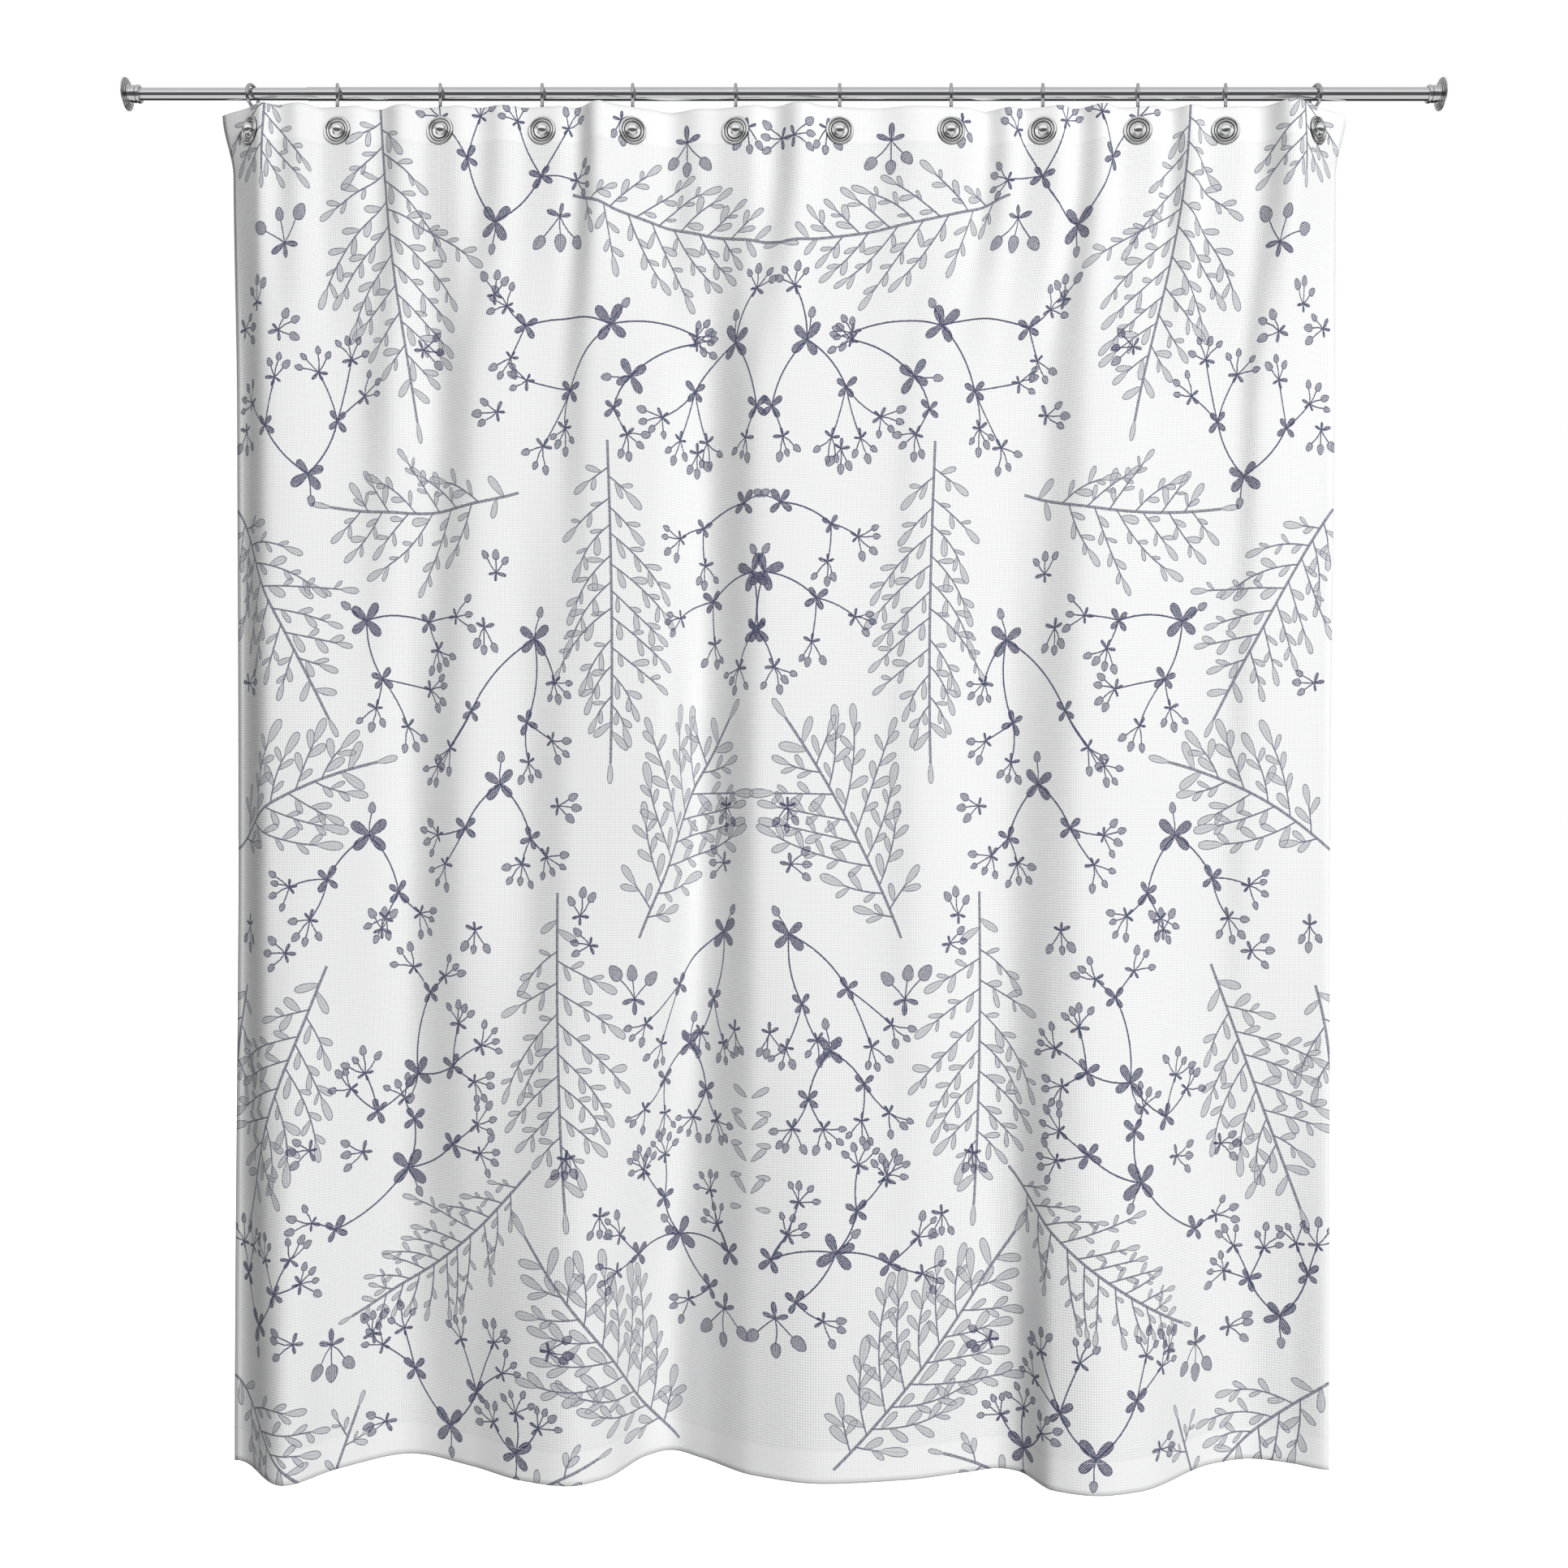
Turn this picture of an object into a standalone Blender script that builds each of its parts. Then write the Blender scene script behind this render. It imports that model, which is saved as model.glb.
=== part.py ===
"""A fabric shower curtain on a telescoping chrome rod.

The rod is two tubes that slide into each other, with a stepped flange, a collar and
a rubber pad at each wall. The curtain hangs from it by ring hooks. Each hook's wire
loops over the rod, drops behind the cloth, turns forward through a two-piece metal
grommet and ends in a round finial.

The origin is the middle of the left wall pad's face, on the rod's axis. +X runs
along the rod, +Z is up, and the printed face of the cloth looks along -Y.
"""

import math

import bmesh
import bpy
from mathutils import Matrix, Vector

# Every size is in metres and every angle in degrees.
GAP = 0.0003  # what touching or seated pieces keep between them

# The rod
ROD_SPAN = 1.810  # from wall to wall
WIDE_TUBE_R = 0.0089
TUBE_WALL = 0.0004
TUBE_SLIP = 0.00025  # all round, between the two tubes
SEAM_X = 0.250  # where the wide tube starts, from the left wall
TUBE_OVERLAP = 0.420  # how far the narrow tube reaches into the wide one
LOCK_HEAD_LENGTH = 0.012
LOCK_SPIGOT_LENGTH = 0.016

# The rod's ends
FLANGE_R = 0.022
FLANGE_RIM = 0.0018  # thickness of the flange's rim
FLANGE_STEP = 0.0011  # height of each step on its face
HUB_WALL = 0.0028  # hub and collar stand this far out of the wide tube
COLLAR_WALL = 0.0035
HUB_LENGTH = 0.0090
COLLAR_LENGTH = 0.0055
SOCKET_DEPTH = 0.0085  # how far a tube goes into the hub
PAD_INSET = 0.0030  # the pad's edge from the flange's
PAD_THICK = 0.0015
PAD_PROUD = 0.0004  # how far the pad stands out of the flange

# The hooks
HOOK_COUNT = 12
WIRE_R = 0.0023
RING_SPARE = 0.0027  # how much wider a ring is than it needs to pass the rod
RING_PLAY = 0.0006  # least space between a ring and the rod
RING_CLEAR = 0.0005  # from the lowest ring down to the cloth's top edge
RING_TAIL_ANGLE = 200  # where the wire starts behind the rod, from the front over the top
RING_TUCK_ANGLE = 75  # how far below the front the ring turns in to the stem
HOOK_BEND_R = 0.0050  # of the bend from the stem into the grommet
FINIAL_R = 0.0075
FINIAL_THICK = 0.0086
FINIAL_SOCKET = 0.0030
# The way each hook and each grommet faces, from straight ahead: negative to the left
HOOK_YAWS = (-13, 16, 12, 9, 5, 2, -2, -6, -9, -12, -15, 13)
GROMMET_YAWS = (-42, -10, -12, -8, 20, -16, 8, 6, -18, -8, -6, 40)

# The grommets
GROMMET_R = 0.0193
GROMMET_HOLE_R = 0.0060
BARREL_WALL = 0.0010
RIM_HEIGHT = 0.0024
DISH_HEIGHT = 0.0012
WASHER_INSET = 0.0008  # the washer's edge from the grommet's
WASHER_THICK = 0.0012
# Across a grommet's face: the dish's edge, the inner ring and the outer groove,
# each as a share of the way from the hole to the rim
GROMMET_FACE = (0.41, 0.56, 0.70)

# The curtain
CLOTH_WIDTH = 1.803  # flat
CLOTH_DROP = 1.880
CLOTH_THICK = 0.0008
SIDE_MARGIN = 0.045  # from a side edge to the nearest grommet's centre
TOP_MARGIN = 0.0324  # from the top edge to the grommets' centres
END_CLEAR = 0.1735  # from a wall to the nearest hook
FULLEST_DRAW = 0.90  # the most of its flat width that the row of hooks takes up
SETBACK = 0.0050  # the cloth hangs this far behind the rod's axis, and balances its hooks
PLEAT_FADE = 0.75  # the pleats at the hooks run into the big folds over this height
# How much slack hangs in each stretch between two hooks, against the others
SLACKS = (25, 9, 10, 20, 9, 8, 1.5, 19, 16, 22.5, 20.5)
# The big folds at the bottom edge: the share of the hanging width, and the depth forward
FOLDS = (
    (0.000, -0.037),
    (0.057, 0.023),
    (0.159, -0.067),
    (0.314, 0.031),
    (0.440, -0.067),
    (0.544, 0.018),
    (0.614, 0.008),
    (0.710, -0.021),
    (0.784, 0.048),
    (0.935, -0.048),
    (1.000, -0.018),
)
BOTTOM_INSET = (0.000, 0.017)  # how far each side has drawn in at the bottom

# Fineness of the round pieces and of the cloth
ROD_STEPS = 20
GROMMET_STEPS = 14
FINIAL_STEPS = 10
FINIAL_RINGS = 5
RING_POINTS = 13
BEND_POINTS = 3
PLEAT_POINTS = 5
CLOTH_ROWS = 8

# Sizes that follow from those above
NARROW_TUBE_R = WIDE_TUBE_R - TUBE_WALL - TUBE_SLIP
HUB_R = WIDE_TUBE_R + HUB_WALL
COLLAR_R = WIDE_TUBE_R + COLLAR_WALL
PAD_R = FLANGE_R - PAD_INSET
NARROW_TUBE_END = SEAM_X + TUBE_OVERLAP
FLANGE_FACE = PAD_PROUD + FLANGE_RIM
HUB_BASE = FLANGE_FACE + 3 * FLANGE_STEP
HUB_END = HUB_BASE + HUB_LENGTH
SOCKET_FLOOR = HUB_END - SOCKET_DEPTH
STEEPEST_YAW = max(abs(yaw) for yaw in HOOK_YAWS)
WASHER_BACK = WIRE_R + GAP  # forward of a hook's stem, which hangs under the axis
CLOTH_FORWARD = WASHER_BACK + WASHER_THICK + GAP + CLOTH_THICK / 2
GROMMET_SEAT = CLOTH_FORWARD + CLOTH_THICK / 2 + GAP
BARREL_R = GROMMET_HOLE_R + BARREL_WALL
WASHER_R = GROMMET_R - WASHER_INSET
FLAT_HALF = GROMMET_R + 0.0015  # half the flat patch of cloth under a grommet
PATCH_DEPTH = TOP_MARGIN + FLAT_HALF
HOOK_PITCH = (CLOTH_WIDTH - 2 * SIDE_MARGIN) / (HOOK_COUNT - 1)  # on the flat cloth

CHROME = ("chrome", (0.78, 0.79, 0.80), 1.0, 0.12)
RUBBER = ("pad_rubber", (0.55, 0.55, 0.54), 0.0, 0.75)
NYLON = ("lock_nylon", (0.80, 0.80, 0.78), 0.0, 0.45)
CLOTH = ("curtain_cloth", (0.86, 0.86, 0.87), 0.0, 0.85)


def smooth(t):
    """Ease from 0 to 1, flat at both ends."""
    t = min(max(t, 0.0), 1.0)
    return t * t * (3 - 2 * t)


def needed_radius(yaw):
    """The inner radius of a ring that just passes the wide tube at this yaw."""
    cosine = math.cos(math.radians(yaw))
    return (WIDE_TUBE_R + WIRE_R * (1 - cosine)) / cosine


# The steepest ring is the one that sizes them all, and the lowest places the cloth
RING_INNER_R = needed_radius(STEEPEST_YAW) + RING_SPARE
RING_R = RING_INNER_R + WIRE_R
CLOTH_TOP = WIDE_TUBE_R + RING_PLAY - RING_INNER_R - RING_R - WIRE_R - RING_CLEAR
GROMMET_DROP = TOP_MARGIN - CLOTH_TOP  # from the rod's axis to a grommet's centre


def solve(wanted, measure, most):
    """The value up to most at which a measure that grows with it is what's wanted."""
    low, high = 0.0, most
    for _ in range(50):
        middle = (low + high) / 2
        if measure(middle) < wanted:
            low = middle
        else:
            high = middle
    return (low + high) / 2


def path_length(points):
    return sum((b - a).length for a, b in zip(points, points[1:]))


def clear_scene():
    for obj in list(bpy.data.objects):
        bpy.data.objects.remove(obj, do_unlink=True)


def new_collection(name):
    collection = bpy.data.collections.new(name)
    bpy.context.scene.collection.children.link(collection)
    return collection


def material(spec):
    name, colour, metallic, roughness = spec
    made = bpy.data.materials.get(name)
    if made is None:
        made = bpy.data.materials.new(name)
        made.use_nodes = True
        shader = made.node_tree.nodes["Principled BSDF"]
        shader.inputs["Base Color"].default_value = (*colour, 1.0)
        shader.inputs["Metallic"].default_value = metallic
        shader.inputs["Roughness"].default_value = roughness
        made.diffuse_color = (*colour, 1.0)
    return made


def add_object(name, data, spec, collection):
    obj = bpy.data.objects.new(name, data)
    collection.objects.link(obj)
    if not data.materials:
        data.materials.append(material(spec))
    return obj


def turn(obj, steps):
    """Turn an object's profile about its own Z axis."""
    screw = obj.modifiers.new("Turn", "SCREW")
    screw.axis = "Z"
    screw.steps = steps
    screw.render_steps = steps
    screw.use_merge_vertices = True
    screw.merge_threshold = 0.00001
    screw.use_smooth_shade = True
    return obj


def profile_mesh(name, profile, closed):
    """A profile of (radius, height) points, which runs down its outer side."""
    count = len(profile)
    edges = [(i, (i + 1) % count) for i in range(count if closed else count - 1)]
    mesh = bpy.data.meshes.new(name)
    mesh.from_pydata([(radius, 0, height) for radius, height in profile], edges, [])
    return mesh


def turned(name, profile, spec, steps, collection, closed=False):
    mesh = profile_mesh(name, profile, closed)
    return turn(add_object(name, mesh, spec, collection), steps)


def along_rod(obj, x, towards):
    """Lay an object's Z axis along the rod, from x towards +X or -X."""
    obj.location = (x, 0, 0)
    obj.rotation_euler = (0, towards * math.pi / 2, 0)
    return obj


# The rod


def tube(name, radius, start, end, collection):
    bore = radius - TUBE_WALL
    length = end - start
    profile = [(radius, length), (radius, 0), (bore, 0), (bore, length)]
    obj = turned(name, profile, CHROME, ROD_STEPS, collection, closed=True)
    return along_rod(obj, start, 1)


def lock_plug(collection):
    """The cam plug in the narrow tube's end, which jams in the wide tube when twisted."""
    spigot_r = NARROW_TUBE_R - TUBE_WALL - GAP
    head_start = LOCK_SPIGOT_LENGTH + GAP
    head_end = head_start + LOCK_HEAD_LENGTH
    chamfer = 0.001
    profile = [
        (0, head_end),
        (NARROW_TUBE_R - chamfer, head_end),
        (NARROW_TUBE_R, head_end - chamfer),
        (NARROW_TUBE_R, head_start),
        (spigot_r, head_start),
        (spigot_r, 0),
        (0, 0),
    ]
    obj = turned("twist_lock_plug", profile, NYLON, ROD_STEPS, collection)
    return along_rod(obj, NARROW_TUBE_END - LOCK_SPIGOT_LENGTH, 1)


def flange(name, tube_r, x, towards, collection):
    """A stepped flange with a hub, a socket for the tube and a recess for the pad."""
    socket_r = tube_r + GAP
    recess_r = PAD_R + GAP
    recess_floor = PAD_THICK + GAP
    step = FLANGE_STEP
    inner = (FLANGE_R - HUB_R) / 4  # width of each step's tread
    face = FLANGE_FACE
    profile = [
        (0, SOCKET_FLOOR),
        (socket_r, SOCKET_FLOOR),
        (socket_r, HUB_END),
        (HUB_R - 0.0012, HUB_END),
        (HUB_R, HUB_END - 0.0016),
        (HUB_R, HUB_BASE + 0.0030),
        (HUB_R - 0.0012, HUB_BASE),
        (HUB_R + inner, HUB_BASE - 0.4 * step),
        (HUB_R + inner, face + 2 * step),
        (HUB_R + 2 * inner, face + 1.6 * step),
        (HUB_R + 2 * inner, face + step),
        (HUB_R + 3 * inner, face + 0.6 * step),
        (FLANGE_R - 0.0008, face),
        (FLANGE_R, face - 0.0008),
        (FLANGE_R, PAD_PROUD),
        (recess_r, PAD_PROUD),
        (recess_r, recess_floor),
        (0, recess_floor),
    ]
    return along_rod(turned(name, profile, CHROME, ROD_STEPS, collection), x, towards)


def collar(name, tube_r, x, towards, collection):
    """The rounded ring round the tube, in front of the hub."""
    bore = tube_r + GAP
    start = HUB_END + GAP
    end = start + COLLAR_LENGTH
    profile = [
        (bore, end),
        ((bore + COLLAR_R) / 2, end - 0.0005),
        (COLLAR_R, end - 0.0024),
        (COLLAR_R, start + 0.0012),
        (COLLAR_R - 0.0010, start),
        (bore, start),
    ]
    obj = turned(name, profile, CHROME, ROD_STEPS, collection, closed=True)
    return along_rod(obj, x, towards)


def wall_pad(name, x, towards, collection):
    profile = [(0, PAD_THICK), (PAD_R, PAD_THICK), (PAD_R, 0), (0, 0)]
    return along_rod(turned(name, profile, RUBBER, ROD_STEPS, collection), x, towards)


def rod(collection):
    tube("narrow_tube", NARROW_TUBE_R, SOCKET_FLOOR + GAP, NARROW_TUBE_END, collection)
    tube("wide_tube", WIDE_TUBE_R, SEAM_X, ROD_SPAN - SOCKET_FLOOR - GAP, collection)
    lock_plug(collection)
    ends = (("left", 0.0, 1, NARROW_TUBE_R), ("right", ROD_SPAN, -1, WIDE_TUBE_R))
    for side, x, towards, tube_r in ends:
        flange(side + "_flange", tube_r, x, towards, collection)
        collar(side + "_collar", tube_r, x, towards, collection)
        wall_pad(side + "_wall_pad", x, towards, collection)


# Where the hooks hang


def hook_places():
    """Where each hook sits along the rod."""
    flat_row = HOOK_PITCH * (HOOK_COUNT - 1)
    row = min(ROD_SPAN - 2 * END_CLEAR, FULLEST_DRAW * flat_row)
    slack = (flat_row - row) / sum(SLACKS)
    places = [(ROD_SPAN - row) / 2]
    for share in SLACKS:
        places.append(places[-1] + HOOK_PITCH - slack * share)
    return places


def facing(yaw):
    """The way a hook faces and the cloth's way across it, as (x, forward) vectors."""
    angle = math.radians(yaw)
    front = Vector((math.sin(angle), math.cos(angle)))
    across = Vector((math.cos(angle), -math.sin(angle)))
    return front, across


def tilts():
    """The angle between each grommet's face and its hook."""
    return [math.radians(g - h) for g, h in zip(GROMMET_YAWS, HOOK_YAWS)]


def grommet_centres():
    """Each grommet's centre in plan, where its hook crosses the cloth's middle."""
    return [
        Vector((place, 0)) + facing(yaw)[0] * CLOTH_FORWARD / math.cos(tilt)
        for place, yaw, tilt in zip(hook_places(), HOOK_YAWS, tilts())
    ]


# The hooks and grommets


def ring_sag(yaw):
    """How far a ring's middle hangs below the rod's axis.

    A ring that is turned on the rod meets it at the sides, so it hangs higher.
    """
    clear_r = RING_INNER_R - RING_PLAY
    wide = needed_radius(yaw)
    straight = clear_r - WIDE_TUBE_R
    spread = wide**2 - WIDE_TUBE_R**2
    if straight * WIDE_TUBE_R >= spread:
        return straight
    return math.sqrt(max(spread * ((clear_r / wide) ** 2 - 1), 0))


def finial_back(tilt):
    """Where a finial starts along its hook, clear of a grommet at this tilt to it."""
    half = FINIAL_THICK / 2
    stand = math.hypot(FINIAL_R * math.sin(tilt), half * math.cos(tilt))
    middle = GROMMET_SEAT + DISH_HEIGHT + 2 * GAP + stand
    return middle / math.cos(tilt) - half


def hook_path(yaw, tilt):
    """A hook's centre line, as (forward, up) points from its tail to the finial."""
    sag = ring_sag(yaw)
    tuck = math.radians(RING_TUCK_ANGLE)
    tail = math.radians(RING_TAIL_ANGLE)
    points = []
    for i in range(RING_POINTS + 1):
        angle = tail - (tail + tuck) * i / RING_POINTS
        points.append((RING_R * math.cos(angle), RING_R * math.sin(angle) - sag))
    tuck_r = RING_R * math.cos(tuck) / (1 - math.cos(tuck))
    stem_top = -sag - (RING_R + tuck_r) * math.sin(tuck)
    for i in range(1, BEND_POINTS + 1):
        angle = tuck * (1 - i / BEND_POINTS)
        forward = tuck_r * (1 - math.cos(angle))
        points.append((forward, stem_top + tuck_r * math.sin(angle)))
    for i in range(BEND_POINTS + 1):
        angle = math.pi / 2 * i / BEND_POINTS
        forward = HOOK_BEND_R * (1 - math.cos(angle))
        points.append((forward, HOOK_BEND_R * (1 - math.sin(angle)) - GROMMET_DROP))
    points.append((finial_back(tilt) + FINIAL_SOCKET - GAP, -GROMMET_DROP))
    return points


def hook_wire(name, yaw, tilt, collection):
    curve = bpy.data.curves.new(name, "CURVE")
    curve.dimensions = "3D"
    curve.bevel_depth = WIRE_R
    curve.bevel_resolution = 2
    curve.use_fill_caps = True
    points = hook_path(yaw, tilt)
    spline = curve.splines.new("POLY")
    spline.points.add(len(points) - 1)
    for point, (forward, up) in zip(spline.points, points):
        point.co = (0, -forward, up, 1)
    return add_object(name, curve, CHROME, collection)


def finial_mesh():
    """A flattened ball with a blind hole at its back for the wire's end."""
    bore = WIRE_R + GAP
    middle = FINIAL_THICK / 2
    back_angle = -math.acos(min(1, (bore + 0.0008) / FINIAL_R))
    profile = []
    for i in range(FINIAL_RINGS + 1):
        angle = math.pi / 2 + (back_angle - math.pi / 2) * i / FINIAL_RINGS
        radius = FINIAL_R * math.cos(angle) if i else 0
        profile.append((radius, middle + middle * math.sin(angle)))
    back = profile[-1][1]
    profile += [(bore, back), (bore, back + FINIAL_SOCKET), (0, back + FINIAL_SOCKET)]
    return profile_mesh("finial", profile, closed=False)


def grommet_front_mesh():
    """The stepped eyelet and its barrel. Height 0 is its seat on the cloth."""
    barrel_length = GROMMET_SEAT - WASHER_BACK
    across = GROMMET_R - GROMMET_HOLE_R
    dish_r, ring_r, groove_r = (GROMMET_HOLE_R + across * f for f in GROMMET_FACE)
    profile = [
        (GROMMET_R - 0.0020, RIM_HEIGHT),
        (GROMMET_R, 0.4 * RIM_HEIGHT),
        (GROMMET_R, 0),
        (BARREL_R, 0),
        (BARREL_R, -barrel_length),
        (GROMMET_HOLE_R, -barrel_length),
        (GROMMET_HOLE_R, DISH_HEIGHT),
        (dish_r, 0.8 * DISH_HEIGHT),
        (ring_r, 0.8 * RIM_HEIGHT),
        (groove_r, DISH_HEIGHT),
    ]
    return profile_mesh("grommet_front", profile, closed=True)


def grommet_back_mesh():
    bore = BARREL_R + GAP
    profile = [
        (WASHER_R, WASHER_THICK),
        (WASHER_R, 0),
        (bore, 0),
        (bore, WASHER_THICK),
    ]
    return profile_mesh("grommet_back", profile, closed=True)


def pivot(name, x, forward, yaw, collection):
    """An empty at a plan point, level with the rod, that faces along a yaw."""
    made = bpy.data.objects.new(name, None)
    collection.objects.link(made)
    made.location = (x, -forward, 0)
    made.rotation_euler = (0, 0, math.radians(yaw))
    return made


def hooks(collection):
    """Each hook and its finial on one pivot, and its grommet's halves on another."""
    finial, front, back = finial_mesh(), grommet_front_mesh(), grommet_back_mesh()
    stations = zip(hook_places(), grommet_centres(), HOOK_YAWS, GROMMET_YAWS, tilts())
    for number, (place, centre, yaw, grommet_yaw, tilt) in enumerate(stations, 1):
        tag = f"{number:02d}"
        behind = centre - facing(grommet_yaw)[0] * CLOTH_FORWARD
        hook = pivot("hook_pivot_" + tag, place, 0, yaw, collection)
        eyelet = pivot("grommet_pivot_" + tag, behind.x, behind.y, grommet_yaw, collection)
        hook_wire("hook_wire_" + tag, yaw, tilt, collection).parent = hook
        for kind, mesh, steps, forward, parent in (
            ("hook_finial_", finial, FINIAL_STEPS, finial_back(tilt), hook),
            ("grommet_front_", front, GROMMET_STEPS, GROMMET_SEAT, eyelet),
            ("grommet_back_", back, GROMMET_STEPS, WASHER_BACK, eyelet),
        ):
            obj = turn(add_object(kind + tag, mesh, CHROME, collection), steps)
            obj.parent = parent
            obj.location = (0, -forward, -GROMMET_DROP)
            obj.rotation_euler = (math.pi / 2, 0, 0)


# The curtain


def pleat(start, start_way, end, end_way, length):
    """The cloth between two grommets' flat patches, as plan points.

    It leaves each patch along the patch, and sags back and then forward until it is
    as long as the cloth there.
    """
    reach = (end - start).length
    chord = (end - start) / reach
    forward = Vector((-chord.y, chord.x))

    def curve(depth):
        points = []
        for i in range(PLEAT_POINTS + 2):
            t = i / (PLEAT_POINTS + 1)
            lead_in = t * (1 - t) ** 2 * reach
            lead_out = -(t**2) * (1 - t) * reach
            point = start + (end - start) * smooth(t)
            point += start_way * lead_in + end_way * lead_out
            point -= forward * depth * math.sin(2 * math.pi * t) * math.sin(math.pi * t)
            points.append(point)
        return points

    return curve(solve(length, lambda depth: path_length(curve(depth)), length))


def top_section():
    """The cloth's plan section at the hooks."""
    centres = grommet_centres()
    ways = [facing(yaw)[1] for yaw in GROMMET_YAWS]
    stretch = HOOK_PITCH - 2 * FLAT_HALF
    points = [centres[0] - ways[0] * SIDE_MARGIN]
    for i, (centre, way) in enumerate(zip(centres, ways)):
        points += [centre - way * FLAT_HALF, centre + way * FLAT_HALF]
        if i + 1 < HOOK_COUNT:
            start = points[-1]
            end = centres[i + 1] - ways[i + 1] * FLAT_HALF
            points += pleat(start, way, end, ways[i + 1], stretch)[1:-1]
    points.append(centres[-1] + ways[-1] * SIDE_MARGIN)
    return points


def shares_along(points):
    """How far along a section each of its points is, from 0 to 1."""
    walked = [0.0]
    for a, b in zip(points, points[1:]):
        walked.append(walked[-1] + (b - a).length)
    return [length / walked[-1] for length in walked]


def point_along(points, shares, share):
    """The point at a share of a section's length."""
    for i in range(len(points) - 1):
        if share <= shares[i + 1]:
            part = (share - shares[i]) / (shares[i + 1] - shares[i])
            return points[i].lerp(points[i + 1], part)
    return points[-1]


def bottom_section(left, right):
    """The cloth's plan section at its bottom edge, as long as the cloth is wide."""
    samples_per_fold = 12
    left, right = left + BOTTOM_INSET[0], right - BOTTOM_INSET[1]
    shape = []
    for (x0, f0), (x1, f1) in zip(FOLDS, FOLDS[1:]):
        for i in range(samples_per_fold):
            t = i / samples_per_fold
            shape.append((x0 + (x1 - x0) * t, f0 + (f1 - f0) * smooth(t)))
    shape.append(FOLDS[-1])

    def section(depth):
        return [Vector((left + (right - left) * x, depth * f)) for x, f in shape]

    most = 6.0
    return section(solve(CLOTH_WIDTH, lambda depth: path_length(section(depth)), most))


def mean_forward(points):
    """The mean of a section's depth along its length."""
    total = sum((b - a).length * (a.y + b.y) / 2 for a, b in zip(points, points[1:]))
    return total / path_length(points)


def cloth_sections():
    """The plan section at each row of the cloth, with its depth below the top edge."""
    top = top_section()
    shares = shares_along(top)
    bottom = bottom_section(top[0].x, top[-1].x)
    bottom_shares = shares_along(bottom)
    bottom = [point_along(bottom, bottom_shares, share) for share in shares]
    shift = Vector((0, -SETBACK - mean_forward(bottom)))
    bottom = [point + shift for point in bottom]
    rows = [(0.0, top), (PATCH_DEPTH, top)]
    for i in range(1, CLOTH_ROWS + 1):
        part = (i / CLOTH_ROWS) ** 1.4
        depth = PATCH_DEPTH + (CLOTH_DROP - PATCH_DEPTH) * part
        share = smooth((depth - PATCH_DEPTH) / PLEAT_FADE)
        rows.append((depth, [a.lerp(b, share) for a, b in zip(top, bottom)]))
    return rows


def grommet_cutter(collection):
    """One drill for each grommet's hole, all in one object."""
    hole_r = BARREL_R + 2 * GAP
    mesh = bpy.data.meshes.new("grommet_holes")
    drills = bmesh.new()
    for centre, yaw in zip(grommet_centres(), GROMMET_YAWS):
        place = Matrix.Translation((centre.x, -centre.y, -GROMMET_DROP))
        place @= Matrix.Rotation(math.radians(yaw), 4, "Z")
        place @= Matrix.Rotation(math.pi / 2, 4, "X")
        bmesh.ops.create_cone(
            drills,
            cap_ends=True,
            segments=GROMMET_STEPS,
            radius1=hole_r,
            radius2=hole_r,
            depth=10 * CLOTH_THICK,
            matrix=place,
        )
    drills.to_mesh(mesh)
    drills.free()
    cutter = bpy.data.objects.new("grommet_holes", mesh)
    collection.objects.link(cutter)
    cutter.hide_render = True
    cutter.display_type = "WIRE"
    return cutter


def curtain(collection, cutters):
    """The whole cloth, with its hems, as one sheet with a hole at each grommet."""
    rows = cloth_sections()
    columns = len(rows[0][1])
    vertices = [(p.x, -p.y, CLOTH_TOP - depth) for depth, row in rows for p in row]
    faces = []
    for row in range(len(rows) - 1):
        for column in range(columns - 1):
            corner = row * columns + column
            below = corner + columns
            faces.append((corner, below, below + 1, corner + 1))
    mesh = bpy.data.meshes.new("curtain_panel")
    mesh.from_pydata(vertices, [], faces)
    obj = add_object("curtain_panel", mesh, CLOTH, collection)
    thickness = obj.modifiers.new("Thickness", "SOLIDIFY")
    thickness.thickness = CLOTH_THICK
    thickness.offset = 0
    holes = obj.modifiers.new("Holes", "BOOLEAN")
    holes.operation = "DIFFERENCE"
    holes.object = grommet_cutter(cutters)
    return obj


def build():
    clear_scene()
    parts = new_collection("shower_curtain")
    cutters = new_collection("cutters")
    rod(parts)
    hooks(parts)
    curtain(parts, cutters)


build()
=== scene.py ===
"""Looks of a printed waffle-weave shower curtain on a chrome tension rod.

Metres throughout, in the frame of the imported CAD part: the origin is the middle of
the left wall pad's face, +X runs along the rod, +Z is up, and the printed face looks
along -Y. Plan points are (x, forward), where forward is -Y.
"""

import math
import random

import bpy
import numpy as np
from mathutils import Matrix, Vector

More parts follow.
